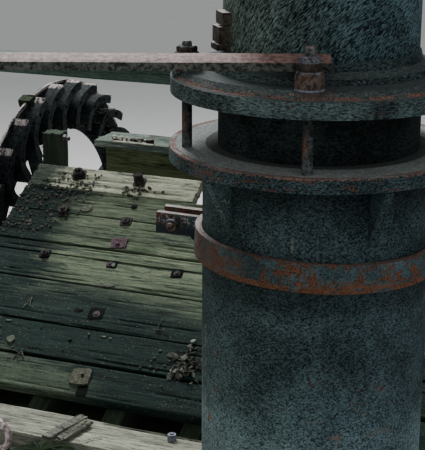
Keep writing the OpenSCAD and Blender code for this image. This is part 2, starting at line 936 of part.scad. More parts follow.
module bearing(x) {
    color("darkslategray")
        translate([x, axle_y, axle_z])
            rotate([90, 0, 90])
                difference() {
                    union() {
                        translate([-bearing_half_y * 2, -bearing_h, 0])
                            cube([bearing_half_y * 4, bearing_foot_t, bearing_w]);
                        translate([-bearing_half_y, -bearing_h, 0])
                            cube([2 * bearing_half_y, bearing_h, bearing_w]);
                        cylinder(r = bearing_half_y, h = bearing_w);
                    }
                    translate([0, 0, -e])
                        cylinder(r = axle_r + run_gap, h = bearing_w + 2 * e);
                }
}

module bearing_left() {
    bearing(bearing_left_x);
}

module bearing_right() {
    bearing(bearing_right_x);
}

module bearing_beam(x, y0) {
    color("darkolivegreen")
        translate([x - beam_lip, y0, beam_top - bearing_beam_d])
            cube([beam_w, beam_back - y0, bearing_beam_d]);
}

module bearing_beam_left() {
    bearing_beam(bearing_left_x, head_y + rail_side);
}

module bearing_beam_right() {
    bearing_beam(bearing_right_x, head_y);
}

module bearing_posts(x) {
    color("darkolivegreen")
        for (y = [head_y + head_side + beam_lip, beam_back - post_w])
            translate([x - beam_lip, y, 0])
                cube([beam_w, post_w, beam_top - bearing_beam_d]);
}

module bearing_posts_left() {
    bearing_posts(bearing_left_x);
}

module bearing_posts_right() {
    bearing_posts(bearing_right_x);
}

riser_pipe();
upper_pipe();
gland();
packing_ring();
side_lug();
gland_stud(0);  // gland_stud_1
gland_stud(1);  // gland_stud_2
gland_stud(2);  // gland_stud_3
gland_stud(3);  // gland_stud_4
gland_stud(4);  // gland_stud_5
hoop_front();
hoop_back();
hoop_bolts();
tie_bar();
anchor_post();
anchor_bolt();
anchor_rail();
anchor_brace();
apron_boards();
apron_bearers();
front_cross_beam();
rear_cross_beam();
front_posts();
rear_posts();
sill_beam();
sill_posts();
head_beam();
head_cap();
head_posts();
corner_post();
corner_bolt();
rear_rail();
rail_post_left();
rail_post_right();
fender_pile();
wheel_ring();
wheel_vanes();
wheel_arms();
wheel_axle();
bearing_left();
bearing_right();
bearing_beam_left();
bearing_beam_right();
bearing_posts_left();
bearing_posts_right();
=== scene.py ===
"""Looks of the derelict water wheel, its timber apron and the iron riser pipe in front of it.

Everything is in metres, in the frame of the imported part: +Z up, +X along the boards, +Y away.
"""

from math import asin, cos, pi, radians, sin
from random import Random

import bmesh
import bpy
import numpy as np
from mathutils import Matrix, Vector, noise
from mathutils.geometry import tessellate_polygon


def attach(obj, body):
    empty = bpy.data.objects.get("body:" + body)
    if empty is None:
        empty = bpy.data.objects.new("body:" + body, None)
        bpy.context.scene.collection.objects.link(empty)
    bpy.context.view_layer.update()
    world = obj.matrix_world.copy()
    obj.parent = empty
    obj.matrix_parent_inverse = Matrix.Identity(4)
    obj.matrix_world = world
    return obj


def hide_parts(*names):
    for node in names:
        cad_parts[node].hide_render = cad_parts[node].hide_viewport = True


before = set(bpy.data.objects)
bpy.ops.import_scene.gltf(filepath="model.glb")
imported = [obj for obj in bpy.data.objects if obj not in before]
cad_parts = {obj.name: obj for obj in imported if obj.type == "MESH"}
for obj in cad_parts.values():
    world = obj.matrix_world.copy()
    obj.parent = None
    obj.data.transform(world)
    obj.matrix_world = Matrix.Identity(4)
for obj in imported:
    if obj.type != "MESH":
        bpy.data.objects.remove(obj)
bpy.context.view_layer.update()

# Places and sizes of the CAD part that the details need
TURN = radians(22)
SLOPE = radians(30)
APRON_AT = Vector((0, 0.56, 0.929))
PIPE_R = 0.258
WHEEL_AT = Vector((0, 2.2, 0.985))
WHEEL_R = 0.8
RING_R = 0.562
WHEEL_X = -1.94
PLATE_X = -2.02
PLATE_T = 0.012
VANES = 28
VANE_FIRST = 4
VANE_SWEEP = 15.5
VANE_POWER = 3.25
VANE_T = 0.008
LIP_W = 0.042
LIP_T = 0.008
SILL_TOP = 0.909
ARC_R = 0.3
FACE_Z = 2.332
LOCK_Z = 2.379
LOCK_H = 0.036
THIN_LOCK_H = 0.015
STUD_R = 0.014
NUT_R = 0.0365
LOCK_R = 0.028
WASHER_R = 0.038
WASHER_T = 0.005
LUG_Z = 2.3855
LUG_TURN = radians(-164)
BAR_END = 0.002
BAR_LEN = 1.72
BAR_W = 0.058
BAR_T = 0.025
BAR_Z = 2.369
BAR_TILT = radians(15)
HOOP_Z = 1.849
HOOP_LEAN = radians(2)
HOOP_TURN = radians(18)
HOOP_R = 0.3116
HOOP_T = 0.021
HOOP_H = 0.08
EAR_T = 0.024
EAR_GAP = 0.042
EAR_REACH = 0.45
EAR_H = 0.062
EAR_Z = 0.009
EAR_BOLT_AT = 0.4
TALL_STUD = 2.42
THREAD_PITCH = 0.004
WASHER_HOLE = 0.012
EAR_NUT = (0.02, 0.016)
CAP_TOP = 1.642

# Sizes of details that only this script has
SHARP = radians(38)
LEAF_T = 0.0012
VANE_STEPS = 12
VANE_HOLE_R = 0.0085
BLOCK_TURN = radians(108.8)
RING_AT = (-1.258, 0.33, 0.893)
QUARTER = pi / 2

# Camera, where the photo was taken from
CAMERA_AT = (1.0137, -3.2618, 2.9)
CAMERA_YAW = radians(22)
CAMERA_PITCH = radians(16.47)
CAMERA_ROLL = radians(0.3)
LENS = 104
SENSOR = 36

# Grain of the wood: how fine its noises are across the grain, and along it
FIBRES = (60.0, 2.2)
BANDS = (16.0, 0.9)
BROAD = (7.0, 0.5)
SCRATCHES = (41.6, 2.34)
CHECK_TINT = (0.2, 0.22, 0.23)
SCRATCH_TINT = (0.42, 0.44, 0.46)
STREAK_TINT = (0.15, 0.21, 0.27)

# Marks in the iron's paint: fineness around, up and outwards, then how the noise is made
MARKS = {"strokes": ((100, 300, 300), 3, 0.62, 0.4), "pits": ((175, 250, 250), 4, 0.75, 0.5),
    "rings": ((100, 240, 240), 4, 0.72, 0.4)}
RAGGED = 0.006
SPECULAR = 0.12


# Camera

def make_camera():
    forward = Vector((-sin(CAMERA_YAW) * cos(CAMERA_PITCH), cos(CAMERA_YAW) * cos(CAMERA_PITCH),
        -sin(CAMERA_PITCH)))
    side = Vector((cos(CAMERA_YAW), sin(CAMERA_YAW), 0))
    up = side.cross(forward)
    right = side * cos(CAMERA_ROLL) + up * sin(CAMERA_ROLL)
    data = bpy.data.cameras.new("camera")
    data.sensor_width = SENSOR
    data.lens = LENS
    data.clip_end = 200
    camera = link("camera", data)
    camera.matrix_world = axes(right, right.cross(forward), -forward, CAMERA_AT)
    bpy.context.scene.camera = camera


# Materials

class Shader:
    """Builds a node material, one call for each node."""

    def __init__(self, name):
        self.material = bpy.data.materials.new(name)
        self.material.use_nodes = True
        self.tree = self.material.node_tree
        self.tree.nodes.clear()

    def node(self, kind, inputs=None, out=0, **settings):
        made = self.tree.nodes.new("ShaderNode" + kind)
        for key, value in settings.items():
            setattr(made, key, value)
        for key, value in (inputs or {}).items():
            if isinstance(value, bpy.types.NodeSocket):
                self.tree.links.new(value, made.inputs[key])
            else:
                made.inputs[key].default_value = value
        return made.outputs[out] if made.outputs else None

    def place(self):
        return self.node("TexCoord", out=3)

    def stretch(self, vector, scale=(1, 1, 1), turn=(0, 0, 0)):
        return self.node("Mapping", {"Vector": vector, "Scale": scale, "Rotation": turn})

    def noise(self, vector, scale=1.0, detail=4, rough=0.6, distort=0):
        return self.node("TexNoise", {"Vector": vector, "Scale": scale, "Detail": detail,
            "Roughness": rough, "Distortion": distort})

    def math(self, operation, a, b=0.0, c=0.0):
        return self.node("Math", {0: a, 1: b, 2: c}, operation=operation)

    def sum(self, *terms):
        """Weighted sum of sockets, each given with its weight."""
        total = 0.0
        for value, weight in terms:
            total = self.math("MULTIPLY_ADD", value, weight, total)
        return total

    def product(self, first, *others):
        for value in others:
            first = self.math("MULTIPLY", first, value)
        return first

    def between(self, value, low, high, to_low=0.0, to_high=1.0):
        return self.node("MapRange", {"Value": value, "From Min": low, "From Max": high,
            "To Min": to_low, "To Max": to_high}, interpolation_type="SMOOTHSTEP")

    def band(self, value, low, high, soft):
        """One between two values, with soft ends."""
        return self.product(self.between(value, low - soft, low),
            self.between(value, high + soft, high))

    def line(self, value, level, width):
        """Zero along the thin lines where a value passes a level, and one beside them."""
        away = self.math("ABSOLUTE", self.math("SUBTRACT", value, level))
        return self.between(away, 0.0, width)

    def mix(self, factor, a, b, how="MIX"):
        a = a if isinstance(a, bpy.types.NodeSocket) else (*a, 1)
        b = b if isinstance(b, bpy.types.NodeSocket) else (*b, 1)
        return self.node("Mix", {0: factor, 6: a, 7: b}, out=2, data_type="RGBA", blend_type=how)

    def tint(self, colour, by, factor=1.0):
        return self.mix(factor, colour, by, "MULTIPLY")

    def dimmed(self, colour, value):
        return self.tint(colour, self.join(value, value, value))

    def parts(self, vector):
        return self.node("SeparateXYZ", {0: vector}).node.outputs

    def join(self, x, y, z=0.0):
        return self.node("CombineXYZ", {0: x, 1: y, 2: z})

    def unrolled(self, place, wheel=False):
        """Arc length, height and distance from the pipe's axis, or from the wheel's."""
        x, y, z = self.parts(place)
        if wheel:
            x, y, z = (self.math("ADD", y, -WHEEL_AT.y), self.math("SUBTRACT", WHEEL_AT.z, z), x)
        out = self.node("VectorMath", {0: self.join(x, y)}, out=1, operation="LENGTH")
        turn = self.math("ARCTAN2", x, self.math("MULTIPLY", y, -1))
        return self.product(turn, ARC_R), z, out

    def facing_up(self):
        return self.parts(self.node("NewGeometry", out=1))[2]

    def finish(self, colour, rough, height, depth):
        bump = self.node("Bump", {"Height": height, "Distance": depth, "Strength": 1.0})
        surface = self.node("BsdfPrincipled", {"Base Color": colour, "Roughness": rough,
            "Normal": bump, "Specular IOR Level": SPECULAR})
        self.node("OutputMaterial", {"Surface": surface})
        return self.material


def faded(colour, by):
    return tuple(v * by for v in colour)


def wood(name, dark, mid, light, along=0, tilt=0.0, shade_and_grime=None, shade_and_grime_tint=(0.3, 0.4, 0.36), moss=None,
        moss_from=0.55, depth=0.003, lines=0.01, streaks=0.0):
    """Weathered timber with fibres, fine checks, moss, and places in painted shade with grime;
    along is the grain's axis.
    """
    s = Shader(name)
    place = s.place()
    grain = s.stretch(place, turn=(tilt, 0, 0)) if tilt else place

    def grained(fineness, *how):
        """Noise drawn out along the grain."""
        size = [fineness[0]] * 3
        size[along] = fineness[1]
        return s.noise(s.stretch(grain, size), *how)

    fibres = grained(FIBRES, 4.0, 5, 0.7, 0.4)
    bands = grained(BANDS, 2.4, 5, 0.65, 0.7)
    tone = s.sum((fibres, 0.45), (bands, 0.35), (grained(BROAD, 1.3, 3, 0.6, 0.4), 0.3))
    colour = s.mix(s.between(tone, 0.4, 0.56), dark, mid)
    colour = s.mix(s.between(tone, 0.56, 0.74), colour, light)
    check = s.line(grained(BANDS, 5.0, 4, 0.5, 1.1), 0.5, lines)
    colour = s.mix(check, s.tint(colour, CHECK_TINT), colour)
    scratch = s.line(grained(SCRATCHES, 4.0, 3, 0.5, 0.8), 0.46, 0.022)
    colour = s.mix(scratch, s.tint(colour, SCRATCH_TINT), colour)
    if streaks:
        zone = s.between(grained(BROAD, 2.2, 3, 0.6), 0.4, 0.58, 0.25, streaks)
        streak = s.product(s.between(grained(BANDS, 8.0, 5, 0.72, 0.5), 0.48, 0.4), zone)
        colour = s.mix(streak, colour, s.tint(colour, STREAK_TINT))
    if moss:
        spread = s.sum((s.noise(place, 4.0, 5, 0.65, 0.3), 0.7), (bands, 0.3))
        colour = s.mix(s.between(spread, moss_from, moss_from + 0.12), colour, moss)
    # Painted shade with grime: the given map darkens the places it picks out with the given tint.
    if shade_and_grime:
        colour = s.tint(colour, shade_and_grime_tint, shade_and_grime(s, place, bands))
    speck = s.between(s.noise(place, 150, 2), 0.64, 0.74)
    colour = s.mix(s.product(speck, 0.5), colour, tuple(v * 0.8 + 0.02 for v in light))
    height = s.sum((fibres, 0.4), (check, 0.4), (scratch, 0.2))
    return s.finish(colour, s.between(fibres, 0.2, 0.8, 0.7, 0.95), height, depth)


def deck_shade_and_grime(s, place, bands):
    """Painted shade on the lower boards, a painted highlight in a strip near the sill at the left,
    and painted shade with grime in the far left corner.
    """
    x, along, _ = s.parts(place)
    sway = s.sum((s.noise(s.stretch(place, (1.6, 5, 5)), 1.0, 3), 0.35), (bands, 0.25))
    up = s.math("ADD", along, sway)
    lit_strip = s.product(s.band(up, 0.34, 0.44, 0.05), s.between(x, -0.95, -1.2))
    low = s.math("SUBTRACT", s.between(up, 1.0, 0.74), s.product(lit_strip, 0.45))
    far = s.product(s.between(s.math("ADD", x, sway), -1.08, -1.36), s.between(along, 0.4, 0.72))
    return s.math("MINIMUM", s.math("ADD", low, s.product(far, 1.25)), 1.0)


def top_shade_and_grime(s, place, bands):
    """Painted shade with grime at the left end of the top board."""
    sway = s.sum((s.noise(place, 14, 4), 0.3), (bands, 0.2))
    return s.between(s.math("ADD", s.parts(place)[0], sway), -1.3, -1.44)


def iron(name, dark, light, rust, rust_from=0.56, marks="fine", contrast=(0.42, 0.62), depth=0.003,
        dust_and_top_light=None, dust_and_top_light_at=(0.55, 1.0), rims=(), shade=(), patches=(), rough=0.68, wheel=False,
        wander=0.5, scale=26, soft=0.05, painted_side_light=None, end=None):
    """Old iron: pits, strokes or rings in the paint, scaly rust, rusty rims, dust with painted top
    light, painted side light and painted shade.

    Rims: low, high, nearest, start, tint. Patches: left, right, low, high, start, tint.
    Shade: low, full, high, furthest, least. Left and right are arcs, start is where rust begins.
    """
    s = Shader(name)
    place = s.place()
    around, z, out = s.unrolled(place, wheel)
    rolled = s.join(around, z, out)
    fine = s.noise(place, 190, 3, 0.65)
    if marks == "fine":
        pattern = s.noise(place, 75, 4, 0.65)
    else:
        size, *how = MARKS[marks]
        slanted = rolled
        if marks == "strokes":
            rise = s.sum((around, 0.95), (s.product(around, around), -0.6))
            slanted = s.join(around, s.math("SUBTRACT", z, rise), out)
        pattern = s.noise(s.stretch(slanted, size), 1.0, *how)
    broad = s.noise(place, 6.5, 4, 0.6)
    tone = s.sum((pattern, 0.72), (fine, 0.22), (broad, 0.12))
    colour = s.mix(s.between(tone, *contrast), dark, light)
    colour = s.dimmed(colour, s.between(broad, 0.32, 0.68, 1.0 - wander, 1.0 + 0.5 * wander))
    # Painted side light: one tint on the left side and another on the right, where the light falls
    # unevenly across the part.
    if painted_side_light:
        colour = s.tint(colour, s.mix(s.between(around, -0.28, 0.28), *painted_side_light))
    flakes = s.noise(place, scale, 6, 0.68, 0.4)
    cover = s.between(s.sum((flakes, 0.62), (broad, 0.38)), rust_from, rust_from + soft)
    colour = s.mix(cover, colour, s.mix(s.between(fine, 0.35, 0.65), faded(rust, 0.3), rust))
    # Dust and painted top light: upward faces get a lighter colour, partly settled dust and partly
    # painted light falling from above.
    if dust_and_top_light:
        dusty_and_lit = s.between(s.sum((s.facing_up(), 1.0), (flakes, 0.3)), *dust_and_top_light_at)
        dust_and_light_colour = s.mix(s.between(tone, 0.42, 0.66), faded(dust_and_top_light, 0.4), dust_and_top_light)
        if end:
            left, right, tint = end
            dust_and_light_colour = s.mix(s.between(s.parts(place)[0], left, right), dust_and_light_colour, s.tint(dust_and_light_colour, tint))
        colour = s.mix(s.product(dusty_and_lit, 0.9), colour, dust_and_light_colour)
    ragged = s.noise(s.stretch(rolled, (22, 70, 70)), 1.0, 4, 0.65)
    for low, high, nearest, start, tint in rims:
        up, away = (s.sum((value, 1.0), (ragged, RAGGED)) for value in (z, out))
        line = s.product(s.band(up, low + RAGGED / 2, high + RAGGED / 2, 0.002),
            s.between(away, nearest, nearest + 0.003),
            s.between(s.sum((ragged, 0.7), (fine, 0.3)), start, start + 0.08))
        colour = s.mix(line, colour, s.mix(s.between(fine, 0.4, 0.6), faded(tint, 0.4), tint))
    for left, right, low, high, start, tint in patches:
        wide, tall = (right - left) * 0.45, (high - low) * 0.45
        spot = s.product(s.band(around, left + wide, right - wide, wide),
            s.band(z, low + tall, high - tall, tall),
            s.between(s.sum((ragged, 0.6), (fine, 0.4)), start, start + 0.08))
        colour = s.mix(spot, colour, tint)
    # Painted shade: the colour is darkened in height bands near the axis, where shade falls under
    # the flanges, the gland and the hoop and on the lock nuts; a least above one paints it lighter
    # instead.
    for low, full, high, furthest, least in shade:
        painted_shading = s.product(s.between(z, low, full), s.between(z, high + 0.001, high),
            s.between(out, furthest + 0.004, furthest))
        colour = s.dimmed(colour, s.between(painted_shading, 0.0, 1.0, 1.0, least))
    height = s.sum((pattern, 0.5), (fine, 0.25), (cover, 0.35))
    return s.finish(colour, s.between(cover, 0.0, 1.0, rough, 0.9), height, depth)


def plain(name, colour, other, scale=30, rough=0.85):
    """Mottled surface of two near colours, for leaves, chips and packing."""
    s = Shader(name)
    mottle = s.noise(s.place(), scale, 4)
    return s.finish(s.mix(s.between(mottle, 0.35, 0.65), colour, other), rough, mottle, 0.001)


RUST = (0.135, 0.048, 0.024)
PINK_RUST = (0.19, 0.105, 0.085)
MOSS_DOTS = (0.19, 0.2, 0.13)
M = {
    "pipe": iron("old_pipe", (0.002, 0.005, 0.006), (0.128, 0.184, 0.176), RUST, 0.68, "strokes",
        (0.46, 0.62), 0.004, wander=0.25, rough=0.85, painted_side_light=((1.55, 1.4, 1.22), (0.58, 0.72, 0.86))),
    "lug": iron("old_lug", (0.016, 0.014, 0.01), (0.07, 0.056, 0.04), RUST, 0.56,
        dust_and_top_light=(0.4, 0.39, 0.36), dust_and_top_light_at=(0.75, 1.15)),
    # Gland: painted shade on its nose below the face, a painted highlight in the bluish grey rim
    # along the collar top, and painted side light that lightens its left.
    "gland": iron("old_gland", (0.002, 0.005, 0.006), (0.078, 0.108, 0.108), RUST, 0.66, "rings",
        (0.41, 0.65), 0.004, dust_and_top_light=(0.08, 0.1, 0.098), rough=0.9,
        painted_side_light=((1.6, 1.55, 1.48), (0.98, 1.0, 1.02)),
        rims=((2.3145, 2.3195, 0.37, 0.43, PINK_RUST), (2.264, 2.3145, 0.39, 0.62, RUST),
            (2.3205, 2.329, 0.34, 0.52, (0.13, 0.13, 0.12)),
            (2.335, 2.349, 0.278, 0.56, (0.12, 0.13, 0.14))),
        patches=((0.02, 0.135, 2.313, 2.34, 0.4, (0.06, 0.042, 0.034)),
            (0.02, 0.06, 2.316, 2.33, 0.48, (0.24, 0.18, 0.13))),
        shade=((2.05, 2.06, 2.2675, 0.275, 0.26),)),
    # Riser: painted shade under the flange, on the flange top beside the nose and just below the
    # hoop, and it grows lighter towards its bottom; its dust on the flange top is partly painted
    # light, and its side tints are painted side light.
    "riser": iron("old_riser", (0.003, 0.006, 0.007), (0.084, 0.124, 0.128), RUST, 0.625, "pits",
        (0.43, 0.65), 0.004, dust_and_top_light=(0.32, 0.35, 0.335), rough=0.9, wander=0.28,
        painted_side_light=((1.05, 1.05, 1.0), (0.82, 0.9, 0.98)),
        rims=((2.1225, 2.129, 0.384, 0.42, PINK_RUST),
            (2.09, 2.1225, 0.392, 0.54, (0.11, 0.052, 0.036)),
            (2.127, 2.14, 0.355, 0.52, (0.23, 0.225, 0.21))),
        shade=((1.93, 2.08, 2.0875, 0.318, 0.4), (2.11, 2.12, 2.13, 0.3, 0.3),
            (1.7, 1.78, 1.812, 0.33, 0.55), (1.58, 1.24, 9, 0.5, 2.7), (1.15, 0.6, 9, 0.5, 0.55)),
        patches=((-0.296, -0.262, 1.44, 1.7, 0.52, MOSS_DOTS),
            (-0.285, -0.262, 1.28, 1.46, 0.52, MOSS_DOTS),
            (0.029, 0.041, 1.905, 1.955, 0.42, (0.15, 0.16, 0.11)),
            (-2.0, 2.0, 0.8, 1.5, 0.48, (0.058, 0.073, 0.068)),
            (-0.162, -0.128, 1.975, 2.06, 0.54, (0.45, 0.5, 0.48)),
            (-0.22, -0.08, 2.09, 2.128, 0.46, (0.095, 0.052, 0.036)),
            (-0.01, 0.16, 2.118, 2.14, 0.56, (0.26, 0.12, 0.045)),
            (0.06, 0.36, 1.15, 1.7, 0.57, RUST))),
    # Hoop: its pale top edge is dust with a painted highlight, and its two side tints are painted
    # side light.
    "hoop": iron("old_hoop", (0.02, 0.036, 0.044), (0.095, 0.145, 0.165), (0.18, 0.077, 0.044),
        0.48, "pits", (0.42, 0.62), 0.007, scale=32, soft=0.09, dust_and_top_light=(0.64, 0.56, 0.53),
        dust_and_top_light_at=(0.75, 1.05), end=(-0.31, -0.1, (0.36, 0.24, 0.2)),
        patches=((-0.39, -0.06, -0.05, 0.045, 0.42, (0.105, 0.055, 0.038)),
            (-0.02, 0.34, -0.048, 0.004, 0.46, (0.14, 0.064, 0.036)),
            (-0.48, -0.39, -0.1, 0.055, 0.0, (0.022, 0.026, 0.032)),
            (-0.48, -0.39, 0.0, 0.045, 0.5, (0.3, 0.3, 0.31))),
        painted_side_light=((0.82, 0.86, 0.74), (0.88, 0.94, 0.94)),
        rims=((-0.043, -0.024, 0.3, 0.43, (0.17, 0.075, 0.038)),)),
    "bar": iron("old_bar", (0.012, 0.014, 0.012), (0.086, 0.094, 0.08), (0.085, 0.046, 0.028), 0.6,
        dust_and_top_light=(0.43, 0.32, 0.305), dust_and_top_light_at=(0.7, 1.0), depth=0.002, wander=0.2,
        end=(-0.55, -0.05, (0.72, 0.55, 0.5))),
    # Nuts: painted shade on the lower part of the lock nuts.
    "nut": iron("old_nut", (0.022, 0.016, 0.014), (0.125, 0.09, 0.074), (0.12, 0.058, 0.038), 0.54,
        dust_and_top_light=(0.23, 0.24, 0.28), dust_and_top_light_at=(0.34, 0.72), depth=0.004, rough=0.6,
        rims=((2.399, 2.41, 0.0, 0.38, (0.12, 0.128, 0.15)),),
        shade=((2.376, 2.38, 2.398, 9, 0.4),)),
    "deck_nut": iron("deck_nut", (0.008, 0.007, 0.007), (0.05, 0.04, 0.039), RUST, 0.58,
        dust_and_top_light=(0.125, 0.098, 0.098), dust_and_top_light_at=(0.95, 1.3), depth=0.004),
    # Studs: painted shade where they pass under the gland.
    "stud": iron("old_stud", (0.014, 0.018, 0.016), (0.1, 0.11, 0.11), (0.18, 0.066, 0.03), 0.58,
        dust_and_top_light=(0.2, 0.15, 0.14), depth=0.003,
        patches=((-0.6, 0.05, 2.155, 2.235, 0.46, (0.2, 0.07, 0.028)),),
        shade=((2.18, 2.25, 2.3, 9, 0.35),)),
    "washer": iron("old_washer", (0.04, 0.046, 0.055), (0.17, 0.19, 0.23), RUST, 0.64,
        dust_and_top_light=(0.22, 0.24, 0.29), depth=0.002, rough=0.5),
    "wheel": iron("old_wheel", (0.002, 0.003, 0.003), (0.024, 0.031, 0.034), RUST, 0.66,
        rims=((-9, 9, 0.79, 0.44, (0.42, 0.37, 0.35)),), wheel=True, rough=0.9),
    "axle": iron("old_axle", (0.012, 0.01, 0.009), (0.06, 0.048, 0.04), RUST, 0.53),
    "deck": wood("deck_wood", (0.034, 0.05, 0.042), (0.132, 0.164, 0.102), (0.31, 0.33, 0.22),
        shade_and_grime=deck_shade_and_grime, shade_and_grime_tint=(0.055, 0.13, 0.165), moss=(0.052, 0.082, 0.04), moss_from=0.57,
        streaks=0.95),
    # The top board's wood is a lighter copy of the deck's, partly weathered grey and partly painted
    # light where the apron's top faces the light.
    "deck_top": wood("weathered_lit_top_board_wood", (0.07, 0.078, 0.052), (0.54, 0.55, 0.395), (0.94, 0.93, 0.72),
        shade_and_grime=top_shade_and_grime, shade_and_grime_tint=(0.1, 0.13, 0.13), moss=(0.045, 0.052, 0.03), moss_from=0.6,
        streaks=1.0),
    "sill": wood("sill_wood", (0.034, 0.038, 0.032), (0.28, 0.285, 0.222), (0.68, 0.68, 0.53),
        moss=(0.08, 0.09, 0.075), moss_from=0.57, streaks=0.85),
    "splinter": wood("splinter_wood", (0.04, 0.042, 0.034), (0.18, 0.18, 0.145),
        (0.42, 0.415, 0.35), lines=0.03, streaks=1.0),
    "cap": wood("cap_wood", (0.022, 0.04, 0.032), (0.086, 0.116, 0.096), (0.42, 0.43, 0.37),
        moss=(0.02, 0.03, 0.024), moss_from=0.52, streaks=0.8),
    "head": wood("head_wood", (0.018, 0.026, 0.013), (0.11, 0.132, 0.064), (0.29, 0.3, 0.15),
        moss=(0.012, 0.02, 0.01), moss_from=0.56, streaks=0.9),
    "moss": wood("mossy_wood", (0.004, 0.009, 0.003), (0.012, 0.024, 0.008), (0.05, 0.07, 0.024),
        along=2, moss=(0.014, 0.028, 0.008), moss_from=0.48, depth=0.006),
    "packing": plain("packing", (0.1, 0.08, 0.05), (0.16, 0.13, 0.09), 140),
    "leaf": plain("dead_leaf", (0.014, 0.016, 0.013), (0.09, 0.085, 0.07), 60),
    "pale_leaf": plain("pale_leaf", (0.08, 0.09, 0.07), (0.24, 0.25, 0.2), 60),
    "plate": plain("rusty_plate", (0.024, 0.016, 0.022), (0.125, 0.08, 0.092), 110),
    "old_plate": plain("dull_plate", (0.032, 0.034, 0.025), (0.115, 0.11, 0.08), 110),
    "ring": plain("pale_ring", (0.2, 0.15, 0.15), (0.72, 0.62, 0.6), 60),
    "chip": plain("bark_chip", (0.05, 0.058, 0.044), (0.15, 0.16, 0.12), 90),
    # Near-black, for the painted shadow in hollows.
    "hole": plain("recess_shadow", (0.001, 0.002, 0.002), (0.005, 0.006, 0.006), rough=1.0),
}
BEAM = ((0.006, 0.011, 0.006), (0.024, 0.038, 0.022), (0.088, 0.115, 0.068))
for key, grain, tilt in (("dark_x", 0, 0.0), ("dark_slope", 1, -SLOPE), ("dark_z", 2, 0.0)):
    M[key] = wood(key + "_wood", *BEAM, along=grain, tilt=tilt, moss=(0.014, 0.026, 0.01),
        moss_from=0.5)
M["rail"] = wood("rail_wood", (0.02, 0.038, 0.028), (0.064, 0.098, 0.078), (0.16, 0.2, 0.16),
    moss=(0.034, 0.064, 0.046), moss_from=0.54)


# Mesh helpers

def link(name, data):
    """Puts new data into the scene as an object."""
    made = bpy.data.objects.new(name, data)
    bpy.context.collection.objects.link(made)
    return made


def add(name, vertices, faces, material, slot, body="frame", place=Matrix.Identity(4), smooth=True,
        stands_for=()):
    """Makes one mesh piece, sets it in place and lets it ride on a body."""
    data = bpy.data.meshes.new(name)
    data.from_pydata([tuple(v) for v in vertices], [], [tuple(f) for f in faces])
    data.validate()
    shell = bmesh.new()
    shell.from_mesh(data)
    bmesh.ops.recalc_face_normals(shell, faces=shell.faces)
    shell.to_mesh(data)
    shell.free()
    piece = link(name, data)
    data.materials.append(M[material])
    if smooth:
        data.shade_smooth()
        data.set_sharp_from_angle(angle=SHARP)
    piece.matrix_world = place
    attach(piece, body)
    if stands_for:
        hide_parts(*stands_for)


class Heap:
    """Gathers several closed shapes into one piece."""

    def __init__(self):
        self.vertices, self.faces = [], []

    def put(self, vertices, faces, place=Matrix.Identity(4)):
        first = len(self.vertices)
        self.vertices += [place @ Vector(v) for v in vertices]
        self.faces += [[first + i for i in f] for f in faces]

    def add(self, name, material, slot, **options):
        add(name, self.vertices, self.faces, material, slot, **options)

    def stand_in(self, node, material, slot, **options):
        """Takes the place of a CAD node."""
        self.add(node + "_worn", material, slot, stands_for=[node], **options)


def move(by):
    return Matrix.Translation(by)


def spin(angle, axis):
    return Matrix.Rotation(angle, 4, axis)


def axes(x, y, z, at=(0, 0, 0)):
    """Frame with given axes at a place."""
    return move(at) @ Matrix((Vector(x), Vector(y), Vector(z))).transposed().to_4x4()


ALONG_X = axes((1, 0, 0), (0, 1, 0), (0, 0, 1))
ALONG_Y = axes((0, 1, 0), (-1, 0, 0), (0, 0, 1))
ALONG_Z = axes((0, 0, 1), (1, 0, 0), (0, 1, 0))
APRON = axes((1, 0, 0), (0, cos(SLOPE), sin(SLOPE)), (0, -sin(SLOPE), cos(SLOPE)), APRON_AT)
FITTINGS = spin(TURN, "Z")


def solids(node, place):
    """Lowest and highest corners of each loose solid of a CAD node, seen in a frame."""
    shell = bmesh.new()
    shell.from_mesh(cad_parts[node].data)
    bmesh.ops.remove_doubles(shell, verts=shell.verts, dist=1e-5)
    back, left, found = place.inverted(), set(shell.verts), []
    while left:
        queue, points = [left.pop()], []
        while queue:
            v = queue.pop()
            points.append(back @ v.co)
            for e in v.link_edges:
                w = e.other_vert(v)
                if w in left:
                    left.remove(w)
                    queue.append(w)
        points = np.array(points)
        found.append((points.min(0), points.max(0)))
    shell.free()
    return sorted(found, key=lambda pair: tuple(pair[0].round(3)[[1, 0, 2]]))


def box(node):
    """Lowest and highest corners of a CAD node."""
    points = np.array([v.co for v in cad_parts[node].data.vertices])
    return points.min(0), points.max(0)


def upright(low, high):
    """Frame that stands on the floor in the middle between two corners."""
    return move(((low[0] + high[0]) / 2, (low[1] + high[1]) / 2, 0))


def ripple(*at):
    """Smooth noise, mostly between zero and one."""
    return 0.5 + 0.5 * noise.noise(at)


def crumple(*at):
    """Noise with finer noise on it."""
    return noise.fractal(at, 0.8, 2.1, 4)


def circle(count):
    """Cosine and sine of each of so many steps all round."""
    return [(cos(2 * pi * i / count), sin(2 * pi * i / count)) for i in range(count)]


def tube(count, steps):
    """Side faces from each ring of points to the next."""
    return [(k * count + i, k * count + (i + 1) % count, (k + 1) * count + (i + 1) % count,
        (k + 1) * count + i) for k in range(steps) for i in range(count)]


